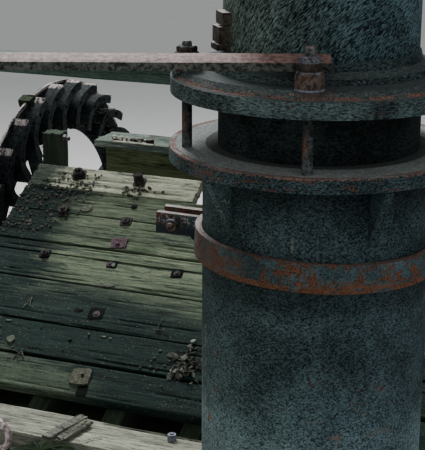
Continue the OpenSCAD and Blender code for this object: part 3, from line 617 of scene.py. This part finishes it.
def timber(low, high, seed, round_=0.006, wear=0.004, cracks=5, ragged=(0.004, 0.004), step=0.03,
        cross=0.012, gape=0.004):
    """Worn balk along x between two corners; everything is cut inwards from the sawn size."""
    rng = Random(seed)
    length, width, depth = np.subtract(high, low)
    wide, deep = max(4, round(width / cross)), max(3, round(depth / cross))
    ring = ([(i / wide, 0) for i in range(wide)] + [(1, i / deep) for i in range(deep)]
        + [(1 - i / wide, 1) for i in range(wide)] + [(0, 1 - i / deep) for i in range(deep)])
    ring = np.array(ring) * (width, depth)
    inner = np.clip(ring, round_, np.array((width, depth)) - round_)
    out = ring - inner
    size = np.linalg.norm(out, axis=1, keepdims=True)
    out = np.divide(out, size, out=np.zeros_like(out), where=size > 1e-9)
    ring = inner + out * round_
    girth = np.r_[0, np.cumsum(np.linalg.norm(np.diff(ring, axis=0), axis=1))]
    splits = [(rng.uniform(0, width), rng.uniform(-0.2, 0.8) * length,
        rng.uniform(0.2, 0.9) * length, rng.uniform(0.4, 1) * wear * 1.6) for _ in range(cracks)]
    stations = max(3, round(length / step))
    vertices, count = [], len(ring)
    for k in range(stations + 1):
        t = k / stations
        for j, (p, n) in enumerate(zip(ring, out)):
            end = 0
            if ragged[0] and k < 2:
                end = ragged[0] * ripple(girth[j] * 45, seed, 0) * (1 - k / 2)
            if ragged[1] and k > stations - 2:
                end = -ragged[1] * ripple(girth[j] * 45, seed, 9) * (1 - (stations - k) / 2)
            x = min(max(t * length + end, 0), length)
            cut = wear * (0.5 + 0.5 * crumple(x * 2.5, girth[j] * 30, seed * 7.3))
            for y0, start, run, deep_cut in splits:
                if start < x < start + run:
                    off = abs(p[0] - y0 - 0.006 * noise.noise((x * 4, y0 * 50, seed)))
                    cut += deep_cut * max(0, 1 - off / gape)
            cut = min(max(cut, 0), 0.45 * min(width, depth))
            q = p - n * cut
            vertices.append((low[0] + x, low[1] + q[0], low[2] + q[1]))
    ends = [tuple(first + j for j in range(count)) for first in (0, stations * count)]
    return vertices, tube(count, stations) + ends


def timbers(node, place, material, seed, slot="frame_wood", **options):
    """Worn copies of all the square timbers of one CAD node."""
    heap = Heap()
    for i, (low, high) in enumerate(solids(node, place)):
        heap.put(*timber(low, high, seed + i, **options))
    heap.stand_in(node, material, slot, place=place)


def skin(rings):
    """Closed solid through rings of points, with a fan over each end."""
    count = len(rings[0])
    vertices = [p for ring in rings for p in ring]
    faces = tube(count, len(rings) - 1)
    for ring, first in ((rings[0], 0), (rings[-1], (len(rings) - 1) * count)):
        middle = len(vertices)
        vertices.append(tuple(np.mean(ring, axis=0)))
        faces += [(first + i, first + (i + 1) % count, middle) for i in range(count)]
    return vertices, faces


def lathe(profile, sides, wobble, seed):
    """Closed solid turned from pairs of radius and height, eaten away a little."""
    rings = []
    for r, z in profile:
        ring = []
        for c, s in circle(sides):
            q = r * (1 - wobble * ripple(c * 2, s * 2 + seed, z * 30))
            ring.append((q * c, q * s, z))
        rings.append(ring)
    return skin(rings)


def nut_solid(r, tall, bottom, taper, chamfer, seed, edge=0.87):
    """Nut with a coned top edge and worn corners, standing at a height."""
    half, rings = pi / 6, []
    for share, cone in (
            (0, 0.96), (0.08, 1), (1 - chamfer, 1), (1 - 0.4 * chamfer, 0.3 + 0.7 * edge),
            (1, edge)):
        ring = []
        for i, (c, s) in enumerate(circle(48)):
            flat = r * cos(half) / cos(2 * pi * i / 48 % (2 * half) - half)
            q = min(flat, r * cone) * (1 - (1 - taper) * share)
            q *= 1 - 0.03 * ripple(c * 2, s * 2, seed + share * 2)
            ring.append((q * c, q * s, bottom + tall * share))
        rings.append(ring)
    return skin(rings)


def chip(wide, deep, thick, seed, corners=9, square=False):
    """Flat flake with an uneven outline, or a plate with worn corners."""
    rng, outline = Random(seed), []
    for c, s in circle(corners * 2 if square else corners):
        grow = min(1 / max(abs(c), abs(s)), 1.3) if square else 1.0
        grow *= rng.uniform(0.93, 1.0) if square else rng.uniform(0.75, 1.0)
        outline.append((c * grow * wide / 2, s * grow * deep / 2))
    return skin([[(x * size, y * size, thick * share) for x, y in outline]
        for share, size in ((0, 0.96), (0.3, 1.0), (0.8, 0.99), (1, 0.94))])


def twig(start, end, r, seed):
    """Thin crooked stick between two places."""
    rng, rings = Random(seed), []
    start, end = Vector(start), Vector(end)
    away = (end - start).orthogonal().normalized()
    other = away.cross(end - start).normalized()
    for k in range(6):
        t = k / 5
        sway = 0.08 * (end - start).length * sin(pi * t)
        middle = start.lerp(end, t) + away * sway * rng.uniform(-1, 1) + other * sway * 0.4
        size = r * (1.0 - 0.4 * t) * rng.uniform(0.8, 1.0)
        rings.append([tuple(middle + size * (away * c + other * s)) for c, s in circle(6)])
    return skin(rings)


def pebble(at, size, rng):
    """Small uneven lump."""
    flat = rng.uniform(0.4, 1.0)
    return skin([[(at[0] + size * r * rng.uniform(0.7, 1) * c,
        at[1] + size * r * rng.uniform(0.7, 1) * s, at[2] + size * z) for c, s in circle(7)]
        for z, r in ((-0.45, 0.45), (-0.15, 0.95), (0.2 * flat, 0.9), (0.5 * flat, 0.4))])


def leaf(at, length, rng):
    """Thin curled leaf, turned at random."""
    wide, curl = length * rng.uniform(0.35, 0.55), rng.uniform(0.1, 0.35)
    flat = [(c * length / 2, s * abs(s) ** 0.6 * wide / 2 * (1 - 0.3 * c)) for c, s in circle(12)]
    vertices, faces = skin([[(x, y, top + curl * (x * x + 2 * y * y) / length) for x, y in flat]
        for top in (0, LEAF_T)])
    turn = (move(at) @ spin(rng.uniform(0, 6.3), "Z") @ spin(rng.uniform(-1.1, 1.1), "X")
        @ spin(rng.uniform(-0.6, 0.6), "Y"))
    return [turn @ Vector(v) for v in vertices], faces


def extrude_flat(loops, x0, x1):
    """Closed plate from a flat outline with holes, between two places along x."""
    flat = [[Vector((y, z, 0)) for y, z in loop] for loop in loops]
    triangles = tessellate_polygon(flat)
    points = [p for loop in flat for p in loop]
    count = len(points)
    vertices = [(x0, p.x, p.y) for p in points] + [(x1, p.x, p.y) for p in points]
    faces = [tuple(t) for t in triangles] + [tuple(i + count for i in t) for t in triangles]
    first = 0
    for loop in flat:
        n = len(loop)
        for i in range(n):
            a, b = first + i, first + (i + 1) % n
            faces.append((a, b, b + count, a + count))
        first += n
    return vertices, faces


# Timber work

def dress_timber():
    boards = solids("apron_boards", APRON)
    for i, (low, high) in enumerate(boards):
        last = i == len(boards) - 1
        board = timber(low, high, 11 + i, round_=0.016 if i == 0 else 0.004, wear=0.0035, cracks=9,
            ragged=(0.03, 0.016 if last else 0.01), step=0.02, cross=0.0055, gape=0.003)
        add(f"board_{i + 1}", *board, "deck_top" if last else "deck", "deck_wood", place=APRON,
            stands_for=["apron_boards"])
    timbers("front_cross_beam", APRON, "dark_x", 31)
    timbers("rear_cross_beam", APRON, "dark_x", 33)
    timbers("sill_beam", ALONG_X, "sill", 35, "sill_wood", wear=0.006, cracks=14, step=0.02,
        cross=0.006, ragged=(0.02, 0.01))
    timbers("head_beam", ALONG_X, "head", 37, wear=0.006, cracks=8, step=0.02, cross=0.008,
        ragged=(0.02, 0.01))
    timbers("head_cap", ALONG_X, "cap", 39, "cap_wood", wear=0.005, cracks=8, step=0.012,
        cross=0.006, ragged=(0.05, 0.01))
    timbers("rear_rail", ALONG_X, "rail", 41, wear=0.002, cracks=3, cross=0.01)
    timbers("corner_post", ALONG_Z, "dark_x", 43, wear=0.006, cross=0.008, ragged=(0, 0.02))
    for node, place, seed in (
            ("anchor_rail", ALONG_Y, 45), ("rail_post_left", ALONG_Z, 47),
            ("rail_post_right", ALONG_Z, 49), ("sill_posts", ALONG_Z, 51),
            ("head_posts", ALONG_Z, 55), ("bearing_posts_left", ALONG_Z, 61),
            ("bearing_posts_right", ALONG_Z, 65), ("bearing_beam_left", ALONG_Y, 69),
            ("bearing_beam_right", ALONG_Y, 71)):
        timbers(node, place, "dark_x", seed)


def dress_corner_bolt():
    low, high = box("corner_bolt")
    place = move((0, (low[1] + high[1]) / 2, (low[2] + high[2]) / 2)) @ spin(QUARTER, "Y")
    heap = Heap()
    heap.put(*nut_solid(0.018, 0.014, high[0] - 0.03, 0.95, 0.3, 7), place)
    heap.put(*lathe([(0.01, low[0]), (0.01, high[0] - 0.002), (0.007, high[0])], 20, 0.05, 8),
        place)
    heap.stand_in("corner_bolt", "nut", "stud_iron")


def dress_pile():
    """Round pile with checks down its side and a worn, mossy top."""
    low, high = box("fender_pile")
    radius, middle, rings = (high[0] - low[0]) / 2, upright(low, high), []
    for share, size in (
            (0, 1), (0.25, 1), (0.5, 1), (0.75, 1), (0.93, 1), (0.965, 0.97), (0.985, 0.9),
            (0.995, 0.78), (1, 0.5), (1, 0.2)):
        ring = []
        for c, s in circle(72):
            worn = 0.5 + 0.5 * crumple(c * 3, s * 3, share * 2)
            split = max(0, noise.noise((c * 9, s * 9, 4.0)) - 0.25)
            q = radius * size * (1 - 0.03 * min(max(worn, 0), 1) - 0.16 * split)
            sunk = 0.03 * max(0, noise.noise((c * size * 3, s * size * 3, 7.0))) * (share > 0.9)
            ring.append((q * c, q * s, high[2] * share - sunk))
        rings.append(ring)
    add("fender_pile_worn", *skin(rings), "moss", "mossy_wood", place=middle,
        stands_for=["fender_pile"])
    rings = []
    for size, rise in (
            (0.6, -0.02), (0.93, -0.012), (0.97, 0.006), (0.86, 0.026), (0.6, 0.042),
            (0.28, 0.049)):
        ring = []
        for c, s in circle(96):
            tuft = 0.012 * crumple(c * size * 14, s * size * 14, rise * 60)
            q = radius * size * (1 + 2.5 * tuft)
            ring.append((q * c, min(q * s, radius), high[2] + rise + tuft))
        rings.append(ring)
    add("pile_moss", *skin(rings), "moss", "mossy_wood", place=middle)


# Fittings of the pipe

def dress_studs():
    """Studs with rusted threads, a thin washer and two nuts, the upper one coned."""
    for i in range(1, 6):
        node = f"gland_stud_{i}"
        low, high = box(node)
        top, lock = high[2], LOCK_H if high[2] > TALL_STUD else THIN_LOCK_H
        z = LOCK_Z + lock
        profile = [(STUD_R, low[2]), (STUD_R, z - 0.002)]
        while z < top - 0.008:
            profile += [(STUD_R - 0.0016, z), (STUD_R, z + 0.0015), (STUD_R - 0.0004, z + 0.0028)]
            z += THREAD_PITCH
        profile += [(STUD_R - 0.001, top - 0.005), (STUD_R - 0.004, top - 0.001), (0.004, top)]
        disc = [(WASHER_HOLE, FACE_Z), (WASHER_R - 0.001, FACE_Z), (WASHER_R, FACE_Z + 0.002),
            (WASHER_R - 0.002, FACE_Z + WASHER_T), (WASHER_HOLE, FACE_Z + WASHER_T)]
        nuts = Heap()
        nuts.put(*nut_solid(NUT_R, LOCK_Z - FACE_Z - WASHER_T, FACE_Z + WASHER_T, 1.0, 0.2, i,
            edge=0.82))
        nuts.put(*nut_solid(LOCK_R, lock, LOCK_Z, 1.0, 0.22, i + 9, edge=0.8))
        for end, shape, material in (
                ("_shank", lathe(profile, 28, 0.05, i), "stud"),
                ("_washer", lathe(disc, 40, 0.03, i), "washer"),
                ("_nuts", (nuts.vertices, nuts.faces), "nut")):
            add(node + end, *shape, material, "stud_iron", place=upright(low, high) @ FITTINGS,
                stands_for=[node])


def iron_block(low, high, seed, wear=0.0015):
    return timber(low, high, seed, round_=0.003, wear=wear, cracks=0, ragged=(0.001, 0.001),
        step=0.008, cross=0.007)


def dress_lug():
    heap, z = Heap(), LUG_Z
    for i, (tall, out) in enumerate(((0.019, 0.034), (0.045, 0.03), (0.036, 0.021))):
        heap.put(*iron_block((PIPE_R - 0.012, -0.032, z), (PIPE_R + out, 0.032, z + tall), 91 + i,
            0.004))
        z += tall
    heap.stand_in("side_lug", "lug", "pipe_iron", place=FITTINGS @ spin(LUG_TURN, "Z"))


def dress_bar():
    heap = Heap()
    heap.put(*timber((BAR_END - BAR_LEN, 0, 0), (BAR_END, BAR_W, BAR_T), 81, round_=0.0025,
        wear=0.002, cracks=0, ragged=(0, 0.002), step=0.012, cross=0.006))
    place = (FITTINGS @ move((0, -PIPE_R - 0.002 - BAR_W * cos(BAR_TILT), BAR_Z))
        @ spin(BAR_TILT, "X"))
    heap.stand_in("tie_bar", "bar", "bar_iron", place=place)


def dress_hoop():
    """Two flaking half bands with ears, and the bolts through the ears."""
    place = (FITTINGS @ move((0, 0, HOOP_Z)) @ spin(HOOP_LEAN, "Y") @ spin(-HOOP_TURN, "Z"))
    middle = HOOP_R + HOOP_T / 2
    gap = asin(0.006 / middle)
    half = EAR_GAP / 2 + EAR_T
    inner, low, high = HOOP_R + HOOP_T - 0.006, EAR_Z - EAR_H / 2, EAR_Z + EAR_H / 2
    web = [(inner, -HOOP_H / 2), (inner + 0.02, low), (inner + 0.02, low + 0.004),
        (inner, low + 0.004)]
    for side, node in ((-1, "hoop_front"), (1, "hoop_back")):
        heap = Heap()
        flat, faces = timber((0, 0, -HOOP_H / 2), (middle * (pi - 2 * gap), HOOP_T, HOOP_H / 2),
            85 + side, round_=0.004, wear=0.003, cracks=0, ragged=(0, 0), step=0.006, cross=0.006)
        bent = []
        for x, y, z in flat:
            a = (pi if side < 0 else 0) + gap + x / middle
            bent.append(((HOOP_R + y) * cos(a), (HOOP_R + y) * sin(a), z))
        heap.put(bent, faces)
        near, far = sorted((side * EAR_GAP / 2, side * half))
        for m in (-1, 1):
            turn = Matrix.Identity(4) if m > 0 else Matrix.Diagonal((-1, 1, 1, 1))
            heap.put(*iron_block((inner, near, low), (EAR_REACH, far, high), 88 + m + side, 0.003),
                turn)
            heap.put(*skin([[(m * x, y, z) for x, z in web] for y in (near + 0.001, far - 0.001)]))
        heap.stand_in(node, "hoop", "hoop_iron", place=place)
    heap = Heap()
    for m in (-1, 1):
        across = move((m * EAR_BOLT_AT, 0, EAR_Z)) @ spin(QUARTER, "X")
        heap.put(*nut_solid(*EAR_NUT, half, 0.95, 0.3, 5), across)
        heap.put(*nut_solid(*EAR_NUT, -half - EAR_NUT[1], 0.98, 0.2, 6), across)
        heap.put(*lathe([(0.01, -half - 0.008), (0.01, half + 0.029), (0.006, half + 0.0304)], 20,
            0.05, 3), across)
    heap.stand_in("hoop_bolts", "nut", "stud_iron", place=place)


# Fastenings and litter on the apron

def on_apron(x, along, turn=0.0, drop=0.003):
    """Frame standing on the apron's boards, a little sunk in."""
    return APRON @ move((x, along, -drop)) @ spin(turn, "Z")


def bolt(heap, place, nut, tall, stud, free, washer, seed):
    """Nut on a stud's end, with or without a square washer."""
    base = 0.0
    if washer:
        heap.put(*chip(washer, washer * 0.96, 0.006, seed, square=True), place)
        base = 0.005
    heap.put(*nut_solid(nut, tall, base, 0.95, 0.25, seed), place)
    top = base + tall + free
    heap.put(*lathe([(stud, base), (stud, top - 0.003), (stud * 0.7, top)], 18, 0.06, seed), place)


def dress_fastenings():
    dark = Heap()
    bolt(dark, on_apron(-1.558, 1.165, 0.3), 0.026, 0.026, 0.012, 0.012, 0.06, 1)
    bolt(dark, on_apron(-1.271, 1.163, 0.1), 0.024, 0.03, 0.013, 0.006, 0.056, 2)
    dark.put(*chip(0.05, 0.03, 0.01, 41), on_apron(-1.268, 1.163, 0.2, -0.038))
    bolt(dark, on_apron(-1.512, 0.701, 0.2), 0.017, 0.012, 0.007, 0.006, 0.038, 3)
    bolt(dark, on_apron(-1.214, 0.693, 0.5, 0.006), 0.016, 0.009, 0.007, 0.004, 0.0, 4)
    bolt(dark, on_apron(-0.921, 0.692, 0.3, 0.008), 0.016, 0.01, 0.008, 0.004, 0.0, 5)
    bolt(dark, on_apron(-1.165, 0.437, 0.1, 0.01), 0.019, 0.01, 0.008, 0.003, 0.0, 6)
    bolt(dark, on_apron(-1.24, 1.02, 0.1), 0.015, 0.01, 0.007, 0.004, 0.0, 7)
    dark.add("apron_nuts", "deck_nut", "stud_iron")
    rusty = Heap()
    bolt(rusty, on_apron(-1.535, 0.945, 0.5), 0.025, 0.017, 0.011, 0.008, 0.056, 11)
    bolt(rusty, on_apron(-1.24, 0.931, 0.2), 0.019, 0.01, 0.008, 0.005, 0.05, 12)
    rusty.add("apron_rusty_nuts", "deck_nut", "stud_iron")
    plates = Heap()
    plates.put(*chip(0.072, 0.058, 0.008, 21, square=True), on_apron(-1.221, 0.808, 0.25))
    plates.put(*lathe([(0.01, 0), (0.01, 0.013), (0.006, 0.017)], 16, 0.1, 2),
        on_apron(-1.224, 0.8))
    plates.add("apron_plate", "plate", "stud_iron")
    add("old_apron_plate", *chip(0.08, 0.078, 0.01, 22, square=True), "old_plate",
        place=on_apron(-1.099, 0.137, 0.12), slot="stud_iron")
    # Painted shadow: near-black flakes just under the boards' top stand for the shade in bolt holes
    # and recesses, and one on the old plate for the shade in its hole.
    holes = Heap()
    for x, along, wide, deep, seed in (
            (-1.205, 0.695, 0.046, 0.044, 31), (-0.921, 0.692, 0.052, 0.05, 32),
            (-1.167, 0.439, 0.066, 0.064, 33), (-1.245, 0.44, 0.05, 0.024, 34),
            (-1.07, 0.078, 0.044, 0.056, 35), (-1.512, 0.701, 0.048, 0.046, 36)):
        holes.put(*chip(wide, deep, 0.003, seed, 8, square=wide < 2 * deep),
            on_apron(x, along, 0.1, 0.0035))
    holes.put(*chip(0.014, 0.016, 0.003, 38), on_apron(-1.092, 0.14, 0.1, -0.0085))
    holes.add("apron_recess_shadows", "hole", "deck_wood")


def dress_litter():
    rng = Random(77)
    chips = Heap()
    for x, along, wide, deep, thick in (
            (-1.441, 0.978, 0.062, 0.052, 0.007), (-1.174, 0.584, 0.062, 0.022, 0.006),
            (-1.454, 0.255, 0.04, 0.038, 0.008), (-1.506, 0.343, 0.03, 0.008, 0.004),
            (-1.56, 0.35, 0.018, 0.008, 0.004), (-1.091, 0.336, 0.03, 0.009, 0.004),
            (-1.06, 0.333, 0.014, 0.008, 0.004), (-1.196, 0.69, 0.018, 0.022, 0.008)):
        chips.put(*chip(wide, deep, thick, rng.randrange(999)), on_apron(x, along, 0.1))
    chips.add("apron_chips", "chip", "deck_wood")
    sticks, dark, grit, leaves, pale = Heap(), Heap(), Heap(), Heap(), Heap()
    for heap, a, b, r in (
            (sticks, (-1.475, 0.415), (-1.462, 0.47), 0.0022),
            (sticks, (-1.462, 0.47), (-1.448, 0.42), 0.0022),
            (sticks, (-1.476, 0.428), (-1.448, 0.432), 0.0018),
            (dark, (-0.897, 0.4), (-0.89, 0.462), 0.0026),
            (dark, (-0.9, 0.402), (-0.85, 0.4), 0.0026),
            (dark, (-1.4, 0.17), (-1.372, 0.222), 0.003),
            (dark, (-1.39, 0.215), (-1.362, 0.18), 0.003),
            (dark, (-1.42, 0.205), (-1.366, 0.19), 0.003),
            (dark, (-0.76, 0.2), (-0.69, 0.3), 0.004), (dark, (-0.78, 0.28), (-0.7, 0.33), 0.0035),
            (dark, (-0.77, 0.255), (-0.69, 0.25), 0.003),
            (dark, (-0.72, 0.2), (-0.74, 0.34), 0.003)):
        heap.put(*twig((*a, 0.002), (*b, 0.004), r, rng.randrange(999)), APRON)
    sticks.add("apron_sticks", "chip", "deck_wood")
    dark.add("dark_sticks", "leaf", "deck_wood")
    for x, along, spread, count in (
            (-1.545, 1.115, 0.06, 110), (-1.262, 1.105, 0.045, 60), (-1.66, 1.0, 0.09, 200),
            (-1.7, 0.85, 0.07, 110), (-1.5, 0.2, 0.2, 40), (-0.735, 0.27, 0.08, 60)):
        for _ in range(count):
            at = (rng.gauss(x, spread), rng.gauss(along, spread * 0.55), 0.001)
            if -1.78 < at[0] < -0.6 and 0.05 < at[1] < 1.2:
                grit.put(*pebble(at, 0.002 + 0.008 * rng.random() ** 2, rng), APRON)
                if rng.random() < 0.25:
                    leaves.put(*leaf(at, rng.uniform(0.008, 0.022), rng), APRON)
    grit.add("apron_grit", "leaf", "deck_wood")
    for _ in range(52):
        at = (rng.gauss(-0.725, 0.03), rng.gauss(0.265, 0.046), rng.uniform(0.001, 0.01))
        (pale if rng.random() < 0.35 else leaves).put(*leaf(at, rng.uniform(0.014, 0.05), rng),
            APRON)
    leaves.add("dark_leaves", "leaf", "deck_wood")
    pale.add("pale_leaves", "pale_leaf", "deck_wood")


def dress_sill():
    """Loose splinters on the sill, and the iron ring that stands against it."""
    wood_pieces = Heap()
    for x, y, length, wide, thick, turn, lean, seed in (
            (-1.038, 0.316, 0.225, 0.044, 0.014, 77, -1, 71),
            (-0.996, 0.33, 0.185, 0.01, 0.008, 80, -1, 74),
            (-0.982, 0.322, 0.185, 0.04, 0.016, 81, -1, 72),
            (-0.94, 0.34, 0.11, 0.01, 0.006, 52, 0, 73)):
        place = (move((x, y, SILL_TOP)) @ spin(radians(turn), "Z") @ spin(radians(lean), "Y"))
        wood_pieces.put(*timber((0, 0, 0), (length, wide, thick), seed, round_=0.003, wear=0.005,
            cracks=8, ragged=(0.03, 0.03), step=0.006, cross=0.003, gape=0.003), place)
    wood_pieces.add("loose_splinters", "splinter", "sill_wood")
    ring = [(0.045, 0), (0.05, -0.008), (0.06, -0.008), (0.068, 0), (0.066, 0.012), (0.058, 0.017),
        (0.048, 0.014)]
    vertices = [(r * c, r * s, z) for c, s in circle(48) for r, z in ring]
    faces = [[i % len(vertices) for i in face] for face in tube(len(ring), 48)]
    add("sill_ring", vertices, faces, "ring", "stud_iron", place=move(RING_AT) @ spin(QUARTER, "X"))


def dress_cap():
    """Nut, crumbs and a splinter on the cap plank, and the nut on the sill."""
    crumbs, bits, white = Random(5), Heap(), Heap()
    bits.put(*nut_solid(0.02, 0.018, CAP_TOP, 0.95, 0.2, 3), move((-1.297, 1.731, 0)))
    for _ in range(60):
        at = (crumbs.uniform(-1.48, -1.33), crumbs.gauss(1.738, 0.012),
            CAP_TOP + crumbs.uniform(0.001, 0.012))
        (white if crumbs.random() < 0.5 else bits).put(*pebble(at, crumbs.uniform(0.004, 0.014),
            crumbs))
    white.put(*timber((-1.475, 1.69, CAP_TOP - 0.001), (-1.262, 1.712, CAP_TOP + 0.007), 61,
        wear=0.003, cracks=2, ragged=(0.03, 0.01), step=0.01, cross=0.004))
    bits.add("cap_nut", "deck_nut", "stud_iron")
    white.add("cap_splinter", "sill", "cap_wood")
    nut = Heap()
    bolt(nut, move((-0.654, 0.5, SILL_TOP - 0.003)), 0.018, 0.022, 0.008, 0.004, 0.0, 14)
    nut.add("sill_nut", "washer", "stud_iron")


# Wheel

def vane_angle(r):
    share = (r - RING_R) / (WHEEL_R - RING_R)
    return radians(VANE_SWEEP) * (1 - max(share, 0) ** VANE_POWER)


def vane_line(a, off):
    """Points of a vane's curve in the wheel's plane, moved sideways by off."""
    def at(r):
        return np.array((r * cos(a + vane_angle(r)), r * sin(a + vane_angle(r))))
    points = []
    for i in range(VANE_STEPS + 1):
        r = WHEEL_R - (WHEEL_R - RING_R) * i / VANE_STEPS
        p, q = at(min(r + 0.002, WHEEL_R)), at(max(r - 0.002, RING_R))
        d = (q - p) / np.linalg.norm(q - p)
        points.append(at(r) + off * np.array((-d[1], d[0])))
    return points


def dress_wheel():
    blades, lips = Heap(), Heap()
    centre = np.array(WHEEL_AT.yz)
    for i in range(VANES):
        rng = Random(500 + i)
        a = radians(VANE_FIRST + i * 360 / VANES)
        near, far = vane_line(a, 0), vane_line(a, VANE_T)
        outline = [centre + p for p in near + far[::-1]]
        blades.put(*extrude_flat([outline], PLATE_X + PLATE_T, WHEEL_X - LIP_T))
        wide = [LIP_W * (1 - 0.12 * rng.random() * (k > 2)) for k in range(VANE_STEPS + 1)]
        inner = [vane_line(a, w)[k] for k, w in enumerate(wide)]
        holes = []
        for share, across in ((0.14, 0.5), (0.42, 0.52)):
            k = share * VANE_STEPS
            lo, t = int(k), k - int(k)
            p = (near[lo] * (1 - t) + near[lo + 1] * t) * (1 - across)
            p = p + (inner[lo] * (1 - t) + inner[lo + 1] * t) * across + centre
            holes.append([p + VANE_HOLE_R * np.array(direction) for direction in circle(12)])
        outline = [centre + p for p in near + inner[::-1]]
        lips.put(*extrude_flat([outline] + holes, WHEEL_X - LIP_T, WHEEL_X))
    riding = {"slot": "wheel_iron", "body": "wheel"}
    blades.add("vane_blades", "wheel", stands_for=["wheel_vanes"], **riding)
    lips.add("vane_flanges", "wheel", smooth=False, stands_for=["wheel_vanes"], **riding)
    out, up = cos(BLOCK_TURN), sin(BLOCK_TURN)
    rim = axes((1, 0, 0), (0, up, -out), (0, out, up), WHEEL_AT)
    add("rim_block", *timber((-2.056, -0.031, 0.738), (-1.99, 0.031, 0.812), 95, round_=0.004,
        wear=0.005, cracks=2, step=0.008, cross=0.007), "moss", place=rim, **riding)
    rng, trash, pale = Random(19), Heap(), Heap()

    def on_vane(i, r):
        a = radians(VANE_FIRST + i * 360 / VANES) + vane_angle(r)
        return (rng.uniform(-2.004, -1.945), WHEEL_AT.y + r * cos(a), WHEEL_AT.z + r * sin(a))

    for i in (4, 5, 6, 7):
        for _ in range(14):
            trash.put(*leaf(on_vane(i, rng.uniform(0.563, 0.6)), rng.uniform(0.02, 0.045), rng))
        for _ in range(3):
            trash.put(*twig(on_vane(i, 0.575), on_vane(i + 1, 0.575), 0.002, rng.randrange(99)))
    for i in (2, 3):
        for _ in range(26):
            (pale if rng.random() < 0.6 else trash).put(*leaf(on_vane(i, rng.uniform(0.6, 0.775)),
                rng.uniform(0.015, 0.04), rng))
    trash.add("wheel_litter", "leaf", **riding)
    pale.add("wheel_pale_litter", "pale_leaf", **riding)


# Stage

def make_stage():
    s = Shader("studio_floor")
    grain = s.noise(s.place(), 3, 2)
    material = s.finish(s.mix(grain, (0.6, 0.6, 0.58), (0.64, 0.64, 0.62)), 0.9, grain, 0.001)
    data = bpy.data.meshes.new("studio_floor")
    data.from_pydata([(-60, -60, 0), (60, -60, 0), (60, 90, 0), (-60, 90, 0)], [], [(0, 1, 2, 3)])
    data.materials.append(material)
    link("studio_floor", data)
    world = bpy.data.worlds.new("studio")
    world.use_nodes = True
    sky = world.node_tree.nodes["Background"].inputs
    sky["Color"].default_value = (0.8, 0.84, 0.86, 1)
    sky["Strength"].default_value = 0.62
    bpy.context.scene.world = world
    for name, at, aim, size, power in (
            ("key", (-3.6, 4.6, 6.6), (-0.8, 1.0, 1.6), 2.2, 900),
            ("fill", (3.5, -5.0, 4.5), (0, 0.5, 1.5), 4.0, 60)):
        data = bpy.data.lights.new(name, "AREA")
        data.size = size
        data.energy = power
        lamp = link(name, data)
        lamp.location = at
        lamp.rotation_euler = (Vector(aim) - Vector(at)).to_track_quat("-Z", "Y").to_euler()


def paint(material, *nodes):
    for node in nodes:
        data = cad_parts[node].data
        data.materials.clear()
        data.materials.append(M[material])


make_camera()
make_stage()
paint("pipe", "upper_pipe")
paint("gland", "gland")
paint("riser", "riser_pipe")
paint("packing", "packing_ring")
paint("nut", "anchor_bolt")
paint("wheel", "wheel_ring", "wheel_arms")
paint("axle", "wheel_axle", "bearing_left", "bearing_right")
paint("dark_slope", "apron_bearers")
paint("dark_z", "anchor_post", "anchor_brace", "front_posts", "rear_posts")
dress_timber()
dress_corner_bolt()
dress_pile()
dress_studs()
dress_lug()
dress_bar()
dress_hoop()
dress_fastenings()
dress_litter()
dress_sill()
dress_cap()
dress_wheel()
